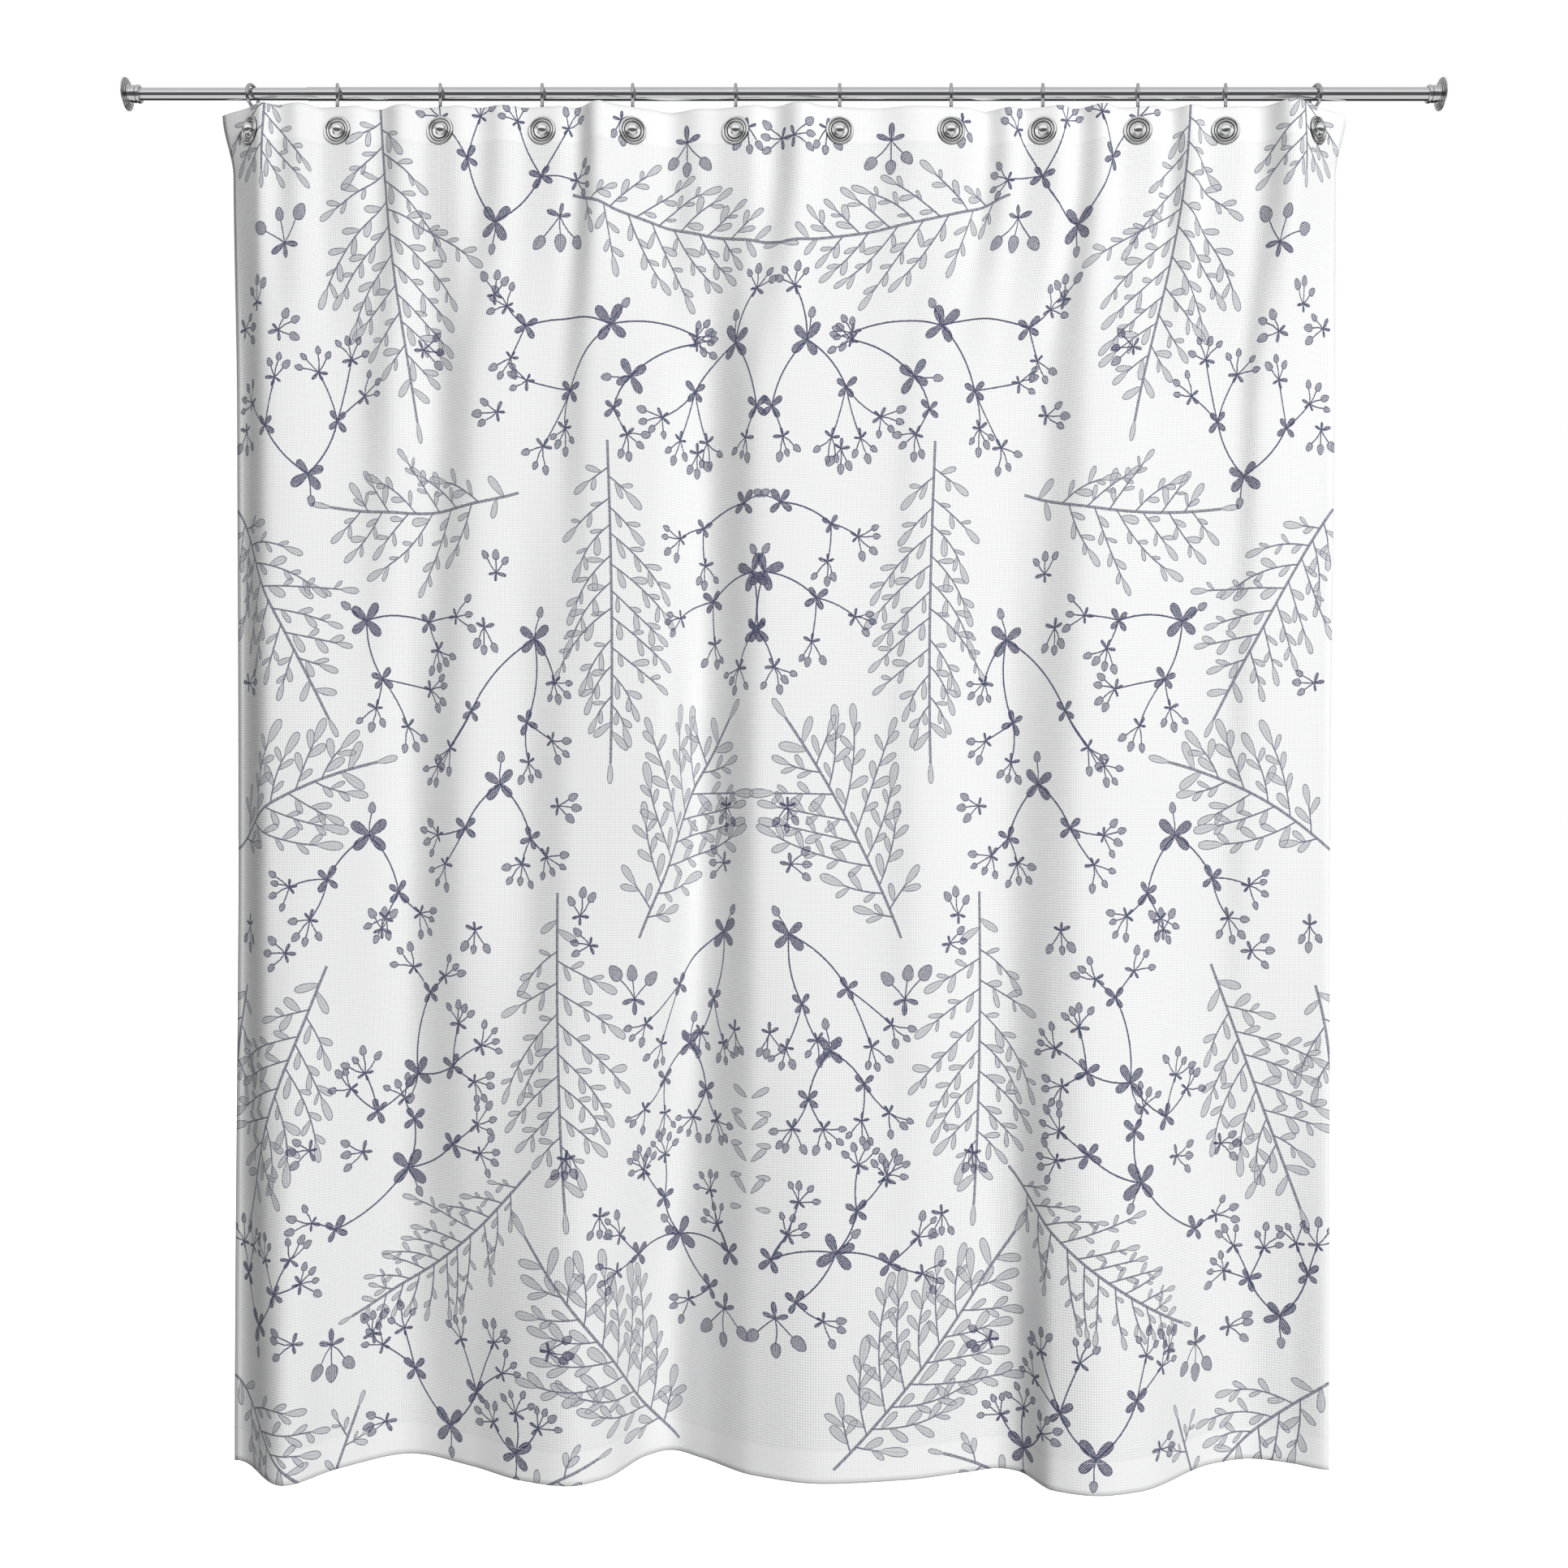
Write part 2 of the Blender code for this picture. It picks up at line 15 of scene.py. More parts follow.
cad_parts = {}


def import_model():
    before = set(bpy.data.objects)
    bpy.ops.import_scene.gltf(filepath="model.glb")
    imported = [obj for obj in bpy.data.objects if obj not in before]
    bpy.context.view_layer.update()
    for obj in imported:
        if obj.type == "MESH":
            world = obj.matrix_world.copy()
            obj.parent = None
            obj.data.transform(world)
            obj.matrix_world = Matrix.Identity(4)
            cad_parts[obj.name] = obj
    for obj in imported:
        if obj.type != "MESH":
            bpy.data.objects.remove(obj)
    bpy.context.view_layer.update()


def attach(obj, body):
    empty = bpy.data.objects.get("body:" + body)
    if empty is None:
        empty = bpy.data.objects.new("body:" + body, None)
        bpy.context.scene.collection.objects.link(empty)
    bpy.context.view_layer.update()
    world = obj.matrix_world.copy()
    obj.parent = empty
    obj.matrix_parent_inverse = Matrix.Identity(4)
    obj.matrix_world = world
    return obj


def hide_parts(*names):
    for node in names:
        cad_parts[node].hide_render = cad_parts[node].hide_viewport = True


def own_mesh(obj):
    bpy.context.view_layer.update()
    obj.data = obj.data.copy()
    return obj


# The rod, as in the CAD part
GAP = 0.0003
ROD_SPAN = 1.810
WIDE_TUBE_R = 0.0089
TUBE_WALL = 0.0004
NARROW_TUBE_R = WIDE_TUBE_R - TUBE_WALL - 0.00025
SEAM_X = 0.250
NARROW_TUBE_END = 0.670
FLANGE_R = 0.022
FLANGE_FACE = 0.0022
FLANGE_STEP = 0.0011
HUB_R = 0.0117
HUB_BASE = 0.0055
HUB_END = 0.0145
COLLAR_R = 0.0124
COLLAR_LENGTH = 0.0055
SOCKET_FLOOR = 0.0060
PAD_R = 0.0190
PAD_PROUD = 0.0004

# The hooks and grommets
WIRE_R = 0.0023
RING_SPARE = 0.0027
RING_PLAY = 0.0006
RING_CLEAR = 0.0005
RING_TAIL_ANGLE = math.radians(200)
RING_TUCK_ANGLE = math.radians(75)
HOOK_BEND_R = 0.0050
HOOK_YAWS = (-13, 16, 12, 9, 5, 2, -2, -6, -9, -12, -15, 13)
GROMMET_YAWS = (-42, -10, -12, -8, 20, -16, 8, 6, -18, -8, -6, 40)
FINIAL_R = 0.0075
FINIAL_THICK = 0.0086
GROMMET_R = 0.0193
GROMMET_HOLE_R = 0.0060
DISH_HEIGHT = 0.0012
WASHER_R = 0.0185
WASHER_THICK = 0.0012
CLOTH_FORWARD = 0.0045
GROMMET_SEAT = 0.0052
WASHER_BACK = 0.0026

# The cloth
CLOTH_WIDTH = 1.803
CLOTH_DROP = 1.880
CLOTH_THICK = 0.0008
SIDE_MARGIN = 0.045
TOP_MARGIN = 0.0324
FLAT_HALF = GROMMET_R + 0.0015
PATCH_DEPTH = TOP_MARGIN + FLAT_HALF
HOOK_PITCH = (CLOTH_WIDTH - 2 * SIDE_MARGIN) / 11
EYELETS = [SIDE_MARGIN + HOOK_PITCH * i for i in range(12)]  # across the flat cloth
END_CLEAR = 0.1735
SLACKS = (25, 9, 10, 20, 9, 8, 1.5, 19, 16, 22.5, 20.5)
SETBACK = 0.0050
# How much of the depth that its slack allows each pleat hangs at
PLEAT_EASES = (0.55, 1.00, 0.60, 0.65, 0.60, 1.00, 0.60, 0.55, 0.80, 0.55, 0.70)
CORNER_FLARE = 0.015
CLOTH_HOLE_R = 0.0075
HEM_TOP = 0.050
HEM_BOTTOM = 0.046
HEM_SIDE = 0.010
COLUMNS = 220
ROWS = 229
CELL_WIDE, CELL_HIGH = CLOTH_WIDTH / COLUMNS, CLOTH_DROP / ROWS


def needed_radius(yaw):
    """The inner radius of a ring that just passes the wide tube at this yaw."""
    cosine = math.cos(math.radians(yaw))
    return (WIDE_TUBE_R + WIRE_R * (1 - cosine)) / cosine


RING_INNER_R = needed_radius(max(abs(yaw) for yaw in HOOK_YAWS)) + RING_SPARE
RING_R = RING_INNER_R + WIRE_R
CLOTH_TOP = WIDE_TUBE_R + RING_PLAY - RING_INNER_R - RING_R - WIRE_R - RING_CLEAR
GROMMET_DROP = TOP_MARGIN - CLOTH_TOP

# Plan sections of the hanging cloth, from its left edge to its right one: the share
# of the hanging width, and how far forward the cloth stands there
UPPER_FOLDS = (
    (0.000, -0.028), (0.040, 0.020), (0.115, -0.006), (0.148, 0.012),
    (0.182, -0.018), (0.225, 0.014), (0.295, -0.006), (0.325, 0.012),
    (0.385, 0.000), (0.430, -0.024), (0.480, 0.020), (0.600, 0.002),
    (0.618, 0.006), (0.735, -0.014), (0.775, 0.012), (0.850, -0.002),
    (0.912, -0.008), (0.930, 0.006), (1.000, -0.014),
)
MIDDLE_FOLDS = (
    (0.000, -0.034), (0.042, 0.026), (0.130, 0.000), (0.160, -0.026),
    (0.215, 0.012), (0.265, -0.006), (0.312, 0.016), (0.390, 0.010),
    (0.424, -0.050), (0.481, 0.018), (0.590, 0.003), (0.618, 0.008),
    (0.704, -0.024), (0.768, 0.022), (0.900, -0.012), (0.925, -0.004),
    (1.000, -0.016),
)
BOTTOM_FOLDS = (
    (0.000, -0.045), (0.062, 0.023), (0.100, -0.021), (0.159, -0.062),
    (0.220, -0.029), (0.272, 0.010), (0.314, 0.024), (0.345, 0.006),
    (0.378, -0.056), (0.400, -0.072), (0.430, -0.050), (0.478, -0.004),
    (0.540, 0.018), (0.614, 0.008), (0.672, -0.013), (0.700, -0.023),
    (0.718, -0.015), (0.742, 0.034), (0.780, 0.048), (0.817, 0.038),
    (0.897, -0.034), (0.935, -0.048), (0.968, -0.037), (1.000, -0.018),
)
BOTTOM_INSET = (-0.006, 0.012)

# Where the cloth changes from one section to the next, as depths below its top edge
TOP_TO_UPPER = (PATCH_DEPTH, 0.42)
UPPER_TO_MIDDLE = (0.30, 1.00)
MIDDLE_TO_BOTTOM = (0.95, 1.86)

SLOTS = 8  # the most marks that the print has in one cell of the cloth
GREY_STEM, GREY_LEAF, NAVY_STEM, NAVY_BUD, NAVY_PETAL = 1.0, 2.0, 3.0, 4.25, 4.4
EDGE_SHARPNESS = 2200.0  # how fast the ink fades at an outline, by the metre
STROKES = 2500.0  # how close together the pen's strokes are, in radians by the metre
UNSTEADINESS = 0.0005  # how far the pen strays from a line
INK_MARGIN = 0.0012  # how far from a mark its ink may still show


def smooth(t):
    t = np.clip(t, 0.0, 1.0)
    return t * t * (3 - 2 * t)


def between(depth, span):
    return smooth((depth - span[0]) / (span[1] - span[0]))


# The cloth's shape


def curve_through(knots, x):
    """A curve through the knots that is level at each of its highs and lows."""
    kx, ky = np.array(knots).T
    slopes = np.zeros(len(kx))
    for i in range(1, len(kx) - 1):
        before = (ky[i] - ky[i - 1]) / (kx[i] - kx[i - 1])
        after = (ky[i + 1] - ky[i]) / (kx[i + 1] - kx[i])
        if before * after > 0:
            slopes[i] = 2 * before * after / (before + after)
    i = np.clip(np.searchsorted(kx, x, side="right") - 1, 0, len(kx) - 2)
    width = kx[i + 1] - kx[i]
    t = (x - kx[i]) / width
    ease = smooth(t)
    lead_in = t * (1 - t) ** 2 * width * slopes[i]
    lead_out = -(t**2) * (1 - t) * width * slopes[i + 1]
    return ky[i] * (1 - ease) + ky[i + 1] * ease + lead_in + lead_out


def strides(points):
    """The distance from each point to the next."""
    return np.linalg.norm(np.diff(points, axis=0), axis=1)


def path_length(points):
    return strides(points).sum()


def solve(wanted, measure, most):
    low, high = 0.0, most
    for _ in range(40):
        middle = (low + high) / 2
        if measure(middle) < wanted:
            low = middle
        else:
            high = middle
    return (low + high) / 2


def walked(points):
    """How far along a section each of its points is, as a share of its length."""
    return np.concatenate([[0], np.cumsum(strides(points))]) / path_length(points)


def by_share(section, shares):
    """The points at these shares of the cloth's width."""
    marks, points = section
    return np.stack([np.interp(shares, marks, points[:, k]) for k in (0, 1)], axis=1)


def hook_places():
    flat_row = HOOK_PITCH * 11
    row = ROD_SPAN - 2 * END_CLEAR
    slack = (flat_row - row) / sum(SLACKS)
    places = [END_CLEAR]
    for share in SLACKS:
        places.append(places[-1] + HOOK_PITCH - slack * share)
    return places


def facing(yaw):
    angle = math.radians(yaw)
    front = np.array((math.sin(angle), math.cos(angle)))
    across = np.array((math.cos(angle), -math.sin(angle)))
    return front, across


def tilts():
    """The angle between each grommet's face and its hook."""
    return [math.radians(g - h) for g, h in zip(GROMMET_YAWS, HOOK_YAWS)]


def grommet_centres():
    """Each grommet's centre in plan, where its hook crosses the cloth's middle."""
    centres = []
    for place, yaw, tilt in zip(hook_places(), HOOK_YAWS, tilts()):
        reach = facing(yaw)[0] * CLOTH_FORWARD / math.cos(tilt)
        centres.append(np.array((place, 0.0)) + reach)
    return centres


def pleat(start, start_way, end, end_way, length, ease):
    """The cloth between two grommets: it sags back and then comes forward."""
    t = np.linspace(0, 1, 26)[:, None]
    reach = np.linalg.norm(end - start)
    chord = (end - start) / reach
    forward = np.array((-chord[1], chord[0]))
    base = start + (end - start) * smooth(t)
    base = base + start_way * t * (1 - t) ** 2 * reach - end_way * t**2 * (1 - t) * reach
    sag = forward * np.sin(2 * np.pi * t) * np.sin(np.pi * t)
    depth = solve(length, lambda d: path_length(base - d * sag), length)
    return base - depth * ease * sag


def top_section():
    """The top edge in plan, with the share of the flat width at each point."""
    centres = grommet_centres()
    ways = [facing(yaw)[1] for yaw in GROMMET_YAWS]
    marks = [[0.0]]
    pieces = [[centres[0] - ways[0] * SIDE_MARGIN]]
    for i, (centre, way) in enumerate(zip(centres, ways)):
        if i:
            start = centres[i - 1] + ways[i - 1] * FLAT_HALF
            end = centre - way * FLAT_HALF
            stretch = HOOK_PITCH - 2 * FLAT_HALF
            points = pleat(start, ways[i - 1], end, way, stretch, PLEAT_EASES[i - 1])
            pieces.append(points[1:-1])
            marks.append((EYELETS[i - 1] + FLAT_HALF + walked(points) * stretch)[1:-1])
        steps = np.linspace(-1, 1, 9) * FLAT_HALF
        pieces.append([centre + way * step for step in steps])
        marks.append(EYELETS[i] + steps)
    pieces.append([centres[-1] + ways[-1] * SIDE_MARGIN])
    marks.append([CLOTH_WIDTH])
    marks = np.concatenate([np.array(piece) for piece in marks]) / CLOTH_WIDTH
    return marks, np.concatenate([np.array(piece) for piece in pieces])


def fold_section(folds, left, right, length=None):
    """A section of big folds, made deeper or shallower to be as long as is asked."""
    x = np.linspace(0, 1, 600)
    forward = curve_through(folds, x)

    def section(depth):
        return np.stack([left + (right - left) * x, depth * forward], axis=1)

    if length is None:
        return section(1.0)
    return section(solve(length, lambda depth: path_length(section(depth)), 6.0))


def mean_forward(points):
    middles = (points[1:, 1] + points[:-1, 1]) / 2
    return (strides(points) * middles).sum() / path_length(points)


class Drape:
    """The hanging cloth's middle surface, read by share across and depth down."""

    def __init__(self):
        self.shares = np.linspace(0, 1, COLUMNS + 1)
        marks, top = top_section()
        left, right = top[0, 0], top[-1, 0]
        upper = fold_section(UPPER_FOLDS, left + 0.004, right - 0.004)
        middle = fold_section(MIDDLE_FOLDS, left + 0.004, right - 0.010)
        bottom = fold_section(
            BOTTOM_FOLDS, left + BOTTOM_INSET[0], right - BOTTOM_INSET[1], CLOTH_WIDTH
        )
        shift = np.array((0.0, -SETBACK - mean_forward(bottom)))
        self.sections = [(marks, top)]
        self.sections += [(walked(points), points) for points in (upper, middle, bottom + shift)]

    def points(self, depth, shares):
        """World points of one row of the cloth."""
        top, upper, middle, bottom = (by_share(s, shares) for s in self.sections)
        row = top + (upper - top) * between(depth, TOP_TO_UPPER)
        row = row + (middle - row) * between(depth, UPPER_TO_MIDDLE)
        row = row + (bottom - row) * between(depth, MIDDLE_TO_BOTTOM)
        # the top corners flare outwards
        flare = CORNER_FLARE * smooth(1 - depth / 0.085)
        outwards = smooth(1 - (1 - shares) / 0.024) - smooth(1 - shares / 0.024)
        z = np.full(len(shares), CLOTH_TOP - depth)
        return np.stack([row[:, 0] + flare * outwards, -row[:, 1], z], axis=1)

    def lifted(self, depth, shares, lift):
        """Points off the middle surface: in front of it, or behind it for less than 0."""
        across = self.points(depth, shares + 0.0005) - self.points(depth, shares - 0.0005)
        front = np.stack([across[:, 1], -across[:, 0], np.zeros(len(shares))], axis=1)
        front /= np.linalg.norm(front, axis=1)[:, None]
        return self.points(depth, shares) + front * lift


# The print. It is drawn on the left half of the flat cloth and mirrored. A point is
# (out, down): how far left of the middle, and how far below the top edge.


def polar(at, angle, reach):
    return at[0] + reach * math.cos(angle), at[1] + reach * math.sin(angle)


def heading(start, end):
    return math.atan2(end[1] - start[1], end[0] - start[0])


class Print:
    """Marks on the flat cloth: u, v, angle, half length, half width and style."""

    def __init__(self, seed):
        self.marks = []
        self.rng = random.Random(seed)

    def near(self, value, spread):
        return value * (1 + self.rng.uniform(-spread, spread))

    def mark(self, at, angle, half_length, half_width, style):
        out, down = at
        middle = CLOTH_WIDTH / 2
        size = (half_length, half_width, style)
        self.marks.append((middle - out, down, math.pi - angle, *size))
        self.marks.append((middle + out, down, angle, *size))

    def leaf(self, base, angle, length, width, style):
        self.mark(polar(base, angle, length / 2), angle, length / 2, width / 2, style)

    def line(self, points, width, style):
        for start, end in zip(points, points[1:]):
            centre = ((start[0] + end[0]) / 2, (start[1] + end[1]) / 2)
            half_length = math.dist(start, end) / 2 + width * 0.3
            self.mark(centre, heading(start, end), half_length, width / 2, style)

    def arc(self, start, end, bow):
        """Points from start to end, bowed to one side by a share of the way."""
        dx, dy = end[0] - start[0], end[1] - start[1]
        via = ((start[0] + end[0]) / 2 - dy * bow, (start[1] + end[1]) / 2 + dx * bow)
        return self.bend(start, via, end)

    def bend(self, start, via, end, step=0.013):
        """Points of a curve from start to end that leans towards via."""
        length = math.dist(start, via) + math.dist(via, end)
        count = max(2, round(length / step))
        points = []
        for i in range(count + 1):
            t = i / count
            a, b, c = (1 - t) ** 2, 2 * t * (1 - t), t * t
            x = a * start[0] + b * via[0] + c * end[0]
            y = a * start[1] + b * via[1] + c * end[1]
            points.append((x, y))
        return points

    def twig(self, base, angle, length, leaf_length, turn):
        """A side shoot with leaves in turn on both sides and one at its tip."""
        via = polar(base, angle, length * 0.55)
        end = polar(via, angle + turn, length * 0.45)
        points = self.bend(base, via, end, 0.011)
        self.line(points, 0.0021, GREY_STEM)
        count = max(2, round(length / 0.0185))
        for i in range(count):
            t = (i + 0.75) / (count + 0.35)
            at = points[min(len(points) - 1, round(t * (len(points) - 1)))]
            side = 1 if i % 2 else -1
            way = angle + turn * t + side * self.near(0.65, 0.35)
            size = self.near(leaf_length * (0.98 - 0.20 * t), 0.25)
            self.leaf(at, way, size, self.near(size * 0.34, 0.2), GREY_LEAF)
        size = self.near(leaf_length * 1.15, 0.15)
        self.leaf(end, angle + turn, size, size * 0.32, GREY_LEAF)

    def sprig(self, base, via, tip, reach, leaf_length, fullest=0.35, pitch=0.041):
        """A long leafy stem. Its side shoots are longest at a share of its length."""
        points = self.bend(base, via, tip, 0.006)
        total = sum(math.dist(a, b) for a, b in zip(points, points[1:]))
        self.line(points[::2] if len(points) % 2 else points[::2] + [tip], 0.0038, GREY_STEM)
        count = round(total * 0.90 / pitch)
        for i in range(count):
            t = 0.10 + 0.88 * i / count
            place = round(t * (len(points) - 1))
            onwards = heading(points[max(place - 1, 0)], points[min(place + 1, len(points) - 1)])
            rise = t / fullest if t < fullest else 1 - (t - fullest) / (1.02 - fullest)
            length = reach * max(rise, 0.0) ** 0.75
            for side in (-1, 1):
                at = points[max(0, min(place + side, len(points) - 1))]
                way = onwards + side * self.near(1.02 - 0.18 * t, 0.12)
                if length < leaf_length * 2.0:
                    size = self.near(leaf_length * 1.3, 0.12)
                    self.leaf(at, way, size, size * 0.31, GREY_LEAF)
                else:
                    shoot = self.near(length, 0.2) - leaf_length
                    self.twig(at, way, shoot, leaf_length, side * self.near(-0.25, 1.2))
        self.leaf(tip, heading(via, tip), leaf_length * 1.15, leaf_length * 0.32, GREY_LEAF)

    def bunch(self, hub, angle, buds=4, stalk=0.020, bud_length=0.0135, spread=0.62):
        """A bunch of buds on thin stalks, with small leaves where they part."""
        for i in range(buds):
            way = angle + spread * (i - (buds - 1) / 2) + self.rng.uniform(-0.15, 0.15)
            end = polar(hub, way, self.near(stalk, 0.25))
            self.line(self.arc(hub, end, self.rng.uniform(-0.15, 0.15)), 0.0018, NAVY_STEM)
            size = self.near(bud_length, 0.15)
            self.leaf(end, way, size, size * 0.72, NAVY_BUD)
        for i in (-1, 0, 1):
            way = angle + math.pi + i * 1.25 + self.rng.uniform(-0.2, 0.2)
            size = self.near(bud_length * 0.95, 0.2)
            self.leaf(hub, way, size, size * 0.34, NAVY_PETAL)

    def flower(self, at, size):
        """Four petals, each a little off a cross."""
        turn = self.rng.uniform(0.5, 1.1)
        for i in range(4):
            way = turn + i * math.pi / 2 + self.rng.uniform(-0.2, 0.2)
            length = self.near(size * 0.74, 0.12)
            self.leaf(at, way, length, length * 0.45, NAVY_PETAL)

    def spray(self, root, size, *branches, bow=0.16):
        """A flower from which stems run to smaller flowers, each with its bunches."""
        self.flower(root, size)
        mean_x = sum(b[0][0] for b in branches) / len(branches) - root[0]
        mean_y = sum(b[0][1] for b in branches) / len(branches) - root[1]
        away = math.atan2(-mean_y, -mean_x)
        end = polar(root, away, 0.030)
        self.line(self.arc(root, end, 0.1), 0.0018, NAVY_STEM)
        self.leaf(end, away, 0.016, 0.011, NAVY_BUD)
        for place, *hubs in branches:
            side = 1 if (place[0] - root[0]) * mean_y < (place[1] - root[1]) * mean_x else -1
            self.line(self.arc(root, place, side * bow), 0.0023, NAVY_STEM)
            if not hubs:
                self.bunch(place, heading(root, place))
                continue
            self.flower(place, size * 0.66)
            for hub in hubs:
                self.line(self.arc(place, hub, self.rng.uniform(-0.14, 0.14)), 0.0020, NAVY_STEM)
                buds = 3 + self.rng.randint(0, 1)
                self.bunch(hub, heading(place, hub), buds, stalk=0.021)


def draw_sprigs(ink):
    sprig = ink.sprig
    sprig((0.82, -0.03), (0.83, 0.03), (0.83, 0.09), 0.125, 0.023, 0.35, 0.025)
    sprig((0.64, -0.02), (0.63, 0.18), (0.58, 0.43), 0.16, 0.026)
    sprig((0.34, 0.12), (0.18, 0.17), (0.0, 0.19), 0.13, 0.024)
    sprig((0.41, 0.53), (0.55, 0.57), (0.72, 0.55), 0.135, 0.025, 0.4)
    sprig((0.9, 0.55), (0.82, 0.65), (0.72, 0.84), 0.14, 0.025, 0.3)
    sprig((0.265, 0.46), (0.26, 0.68), (0.27, 0.9), 0.15, 0.026, 0.4)
    sprig((0.9, 1.02), (0.79, 0.93), (0.65, 0.9), 0.13, 0.03, 0.25, 0.04)
    sprig((0.225, 1.14), (0.16, 0.98), (0.05, 0.84), 0.16, 0.03, 0.35, 0.038)
    sprig((0.35, 1.08), (0.35, 1.3), (0.33, 1.51), 0.135, 0.027, 0.4)
    sprig((0.72, 1.18), (0.78, 1.32), (0.86, 1.52), 0.15, 0.028, 0.4)
    sprig((0.385, 1.46), (0.52, 1.61), (0.67, 1.67), 0.115, 0.019, 0.35, 0.028)
    sprig((0.125, 1.86), (0.25, 1.74), (0.39, 1.55), 0.165, 0.034, 0.3, 0.042)
    sprig((0.9, 1.76), (0.82, 1.82), (0.74, 1.89), 0.13, 0.028)
    sprig((0.7, 1.9), (0.68, 1.85), (0.66, 1.8), 0.07, 0.02)
    sprig((0.38, 1.9), (0.34, 1.87), (0.28, 1.85), 0.07, 0.022)
    sprig((0.88, 1.21), (0.9, 1.27), (0.905, 1.36), 0.09, 0.026)
    for i in range(4):
        ink.leaf((0.004, 1.36 + 0.044 * i), -0.5 - 0.1 * i, 0.03, 0.009, GREY_LEAF)
        ink.leaf((0.012, 1.38 + 0.044 * i), 0.1, 0.022, 0.008, GREY_LEAF)


# In millimetres: a flower's place and its size, and then for each branch the places of
# the smaller flower at its end and of that one's bunches
SPRAYS = (
    ((455, 160), 38, ((505, 70), (545, 15), (485, 12)),
     ((390, 95), (350, 30), (425, 20), (335, 100))),
    ((755, 505), 36, ((820, 440), (860, 405), (805, 375)),
     ((712, 430), (690, 345), (740, 365), (670, 395))),
    ((260, 300), 40, ((125, 310),), ((400, 300), (430, 275), (420, 345)),
     ((325, 388), (395, 375), (370, 465), (335, 440))),
    ((228, 370), 34, ((255, 415), (235, 450)), ((125, 320),)),
    ((58, 322), 38, ((125, 385), (180, 425), (150, 455), (105, 455)), ((12, 414), (30, 455)),
     ((30, 250),)),
    ((30, 545), 28, ((108, 573), (150, 590), (105, 625))),
    ((10, 640), 38, ((90, 675), (150, 700), (85, 735)), ((4, 720), (30, 770))),
    ((665, 705), 38, ((563, 706), (510, 700), (545, 745)),
     ((640, 785), (560, 800), (650, 825), (600, 850))),
    ((388, 730), 36, ((485, 830), (545, 905), (520, 880)), ((402, 845), (360, 870), (400, 900)),
     ((355, 790),)),
    ((443, 930), 36, ((495, 990), (545, 1000), (530, 1040)),
     ((397, 1005), (370, 1030), (410, 1040))),
    ((660, 1000), 40, ((720, 1060), (775, 1070), (745, 1115)),
     ((614, 1080), (580, 1110), (635, 1115))),
    ((58, 1135), 36, ((145, 1210), (180, 1290), (210, 1260)),
     ((78, 1230), (55, 1290), (100, 1280))),
    ((119, 1295), 34, ((169, 1340), (205, 1380), (165, 1390)),
     ((88, 1360), (65, 1400), (110, 1400))),
    ((580, 1335), 38, ((560, 1220), (590, 1185), (530, 1195)),
     ((515, 1320), (470, 1290), (480, 1340), (505, 1260)),
     ((640, 1385), (680, 1350), (660, 1330))),
    ((593, 1470), 42, ((515, 1430), (475, 1400), (470, 1440)), ((585, 1400), (600, 1370)),
     ((698, 1545), (735, 1530))),
    ((834, 1675), 36, ((872, 1612), (885, 1570), (855, 1570)),
     ((790, 1624), (765, 1575), (810, 1580), (750, 1610))),
    ((128, 1568), 40, ((157, 1512), (200, 1465), (160, 1450)),
     ((203, 1585), (245, 1550), (250, 1600)), ((35, 1580), (75, 1500), (60, 1545)),
     ((72, 1636), (110, 1660))),
    ((520, 1830), 42, ((579, 1758), (625, 1720), (595, 1700)),
     ((472, 1775), (440, 1700), (500, 1705), (425, 1740))),
    ((400, 1845), 36, ((440, 1810),), ((365, 1805),), ((400, 1790),)),
)


def metres(place):
    return place[0] / 1000, place[1] / 1000


def draw_sprays(ink):
    for root, size, *branches in SPRAYS:
        branches = [[metres(place) for place in branch] for branch in branches]
        ink.spray(metres(root), size / 1000, *branches)


def draw_bunches(ink):
    """Bunches on their own: larger ones, and then smaller ones."""
    up, down, left, right = -math.pi / 2, math.pi / 2, 0.0, math.pi
    for at, way in (
        ((790, 190), up + 0.3), ((360, 150), down), ((230, 1225), up), ((700, 1705), down),
        ((42, 1660), down), ((150, 45), down),
    ):
        ink.bunch(metres(at), way, buds=3, stalk=0.03, bud_length=0.023, spread=0.75)
    for at, way in (
        ((880, 300), right), ((840, 270), up), ((800, 310), right + 0.4), ((250, 20), down),
        ((60, 30), down), ((10, 45), left), ((440, 420), left), ((450, 260), up),
        ((875, 790), right), ((445, 640), up), ((464, 715), down), ((120, 470), down),
        ((350, 960), right), ((315, 1110), up), ((870, 1125), down), ((480, 1130), down),
        ((300, 1150), left), ((55, 960), down), ((60, 1040), left), ((30, 1270), down),
        ((640, 1130), up), ((660, 1440), left), ((280, 1520), down), ((330, 1440), down),
        ((760, 1690), left), ((640, 1700), up), ((620, 1830), left), ((350, 1700), right),
        ((200, 1470), up), ((740, 1430), left), ((570, 330), right), ((880, 440), down),
        ((780, 1160), left),
    ):
        ink.bunch(metres(at), way, buds=3, stalk=0.02, bud_length=0.015)


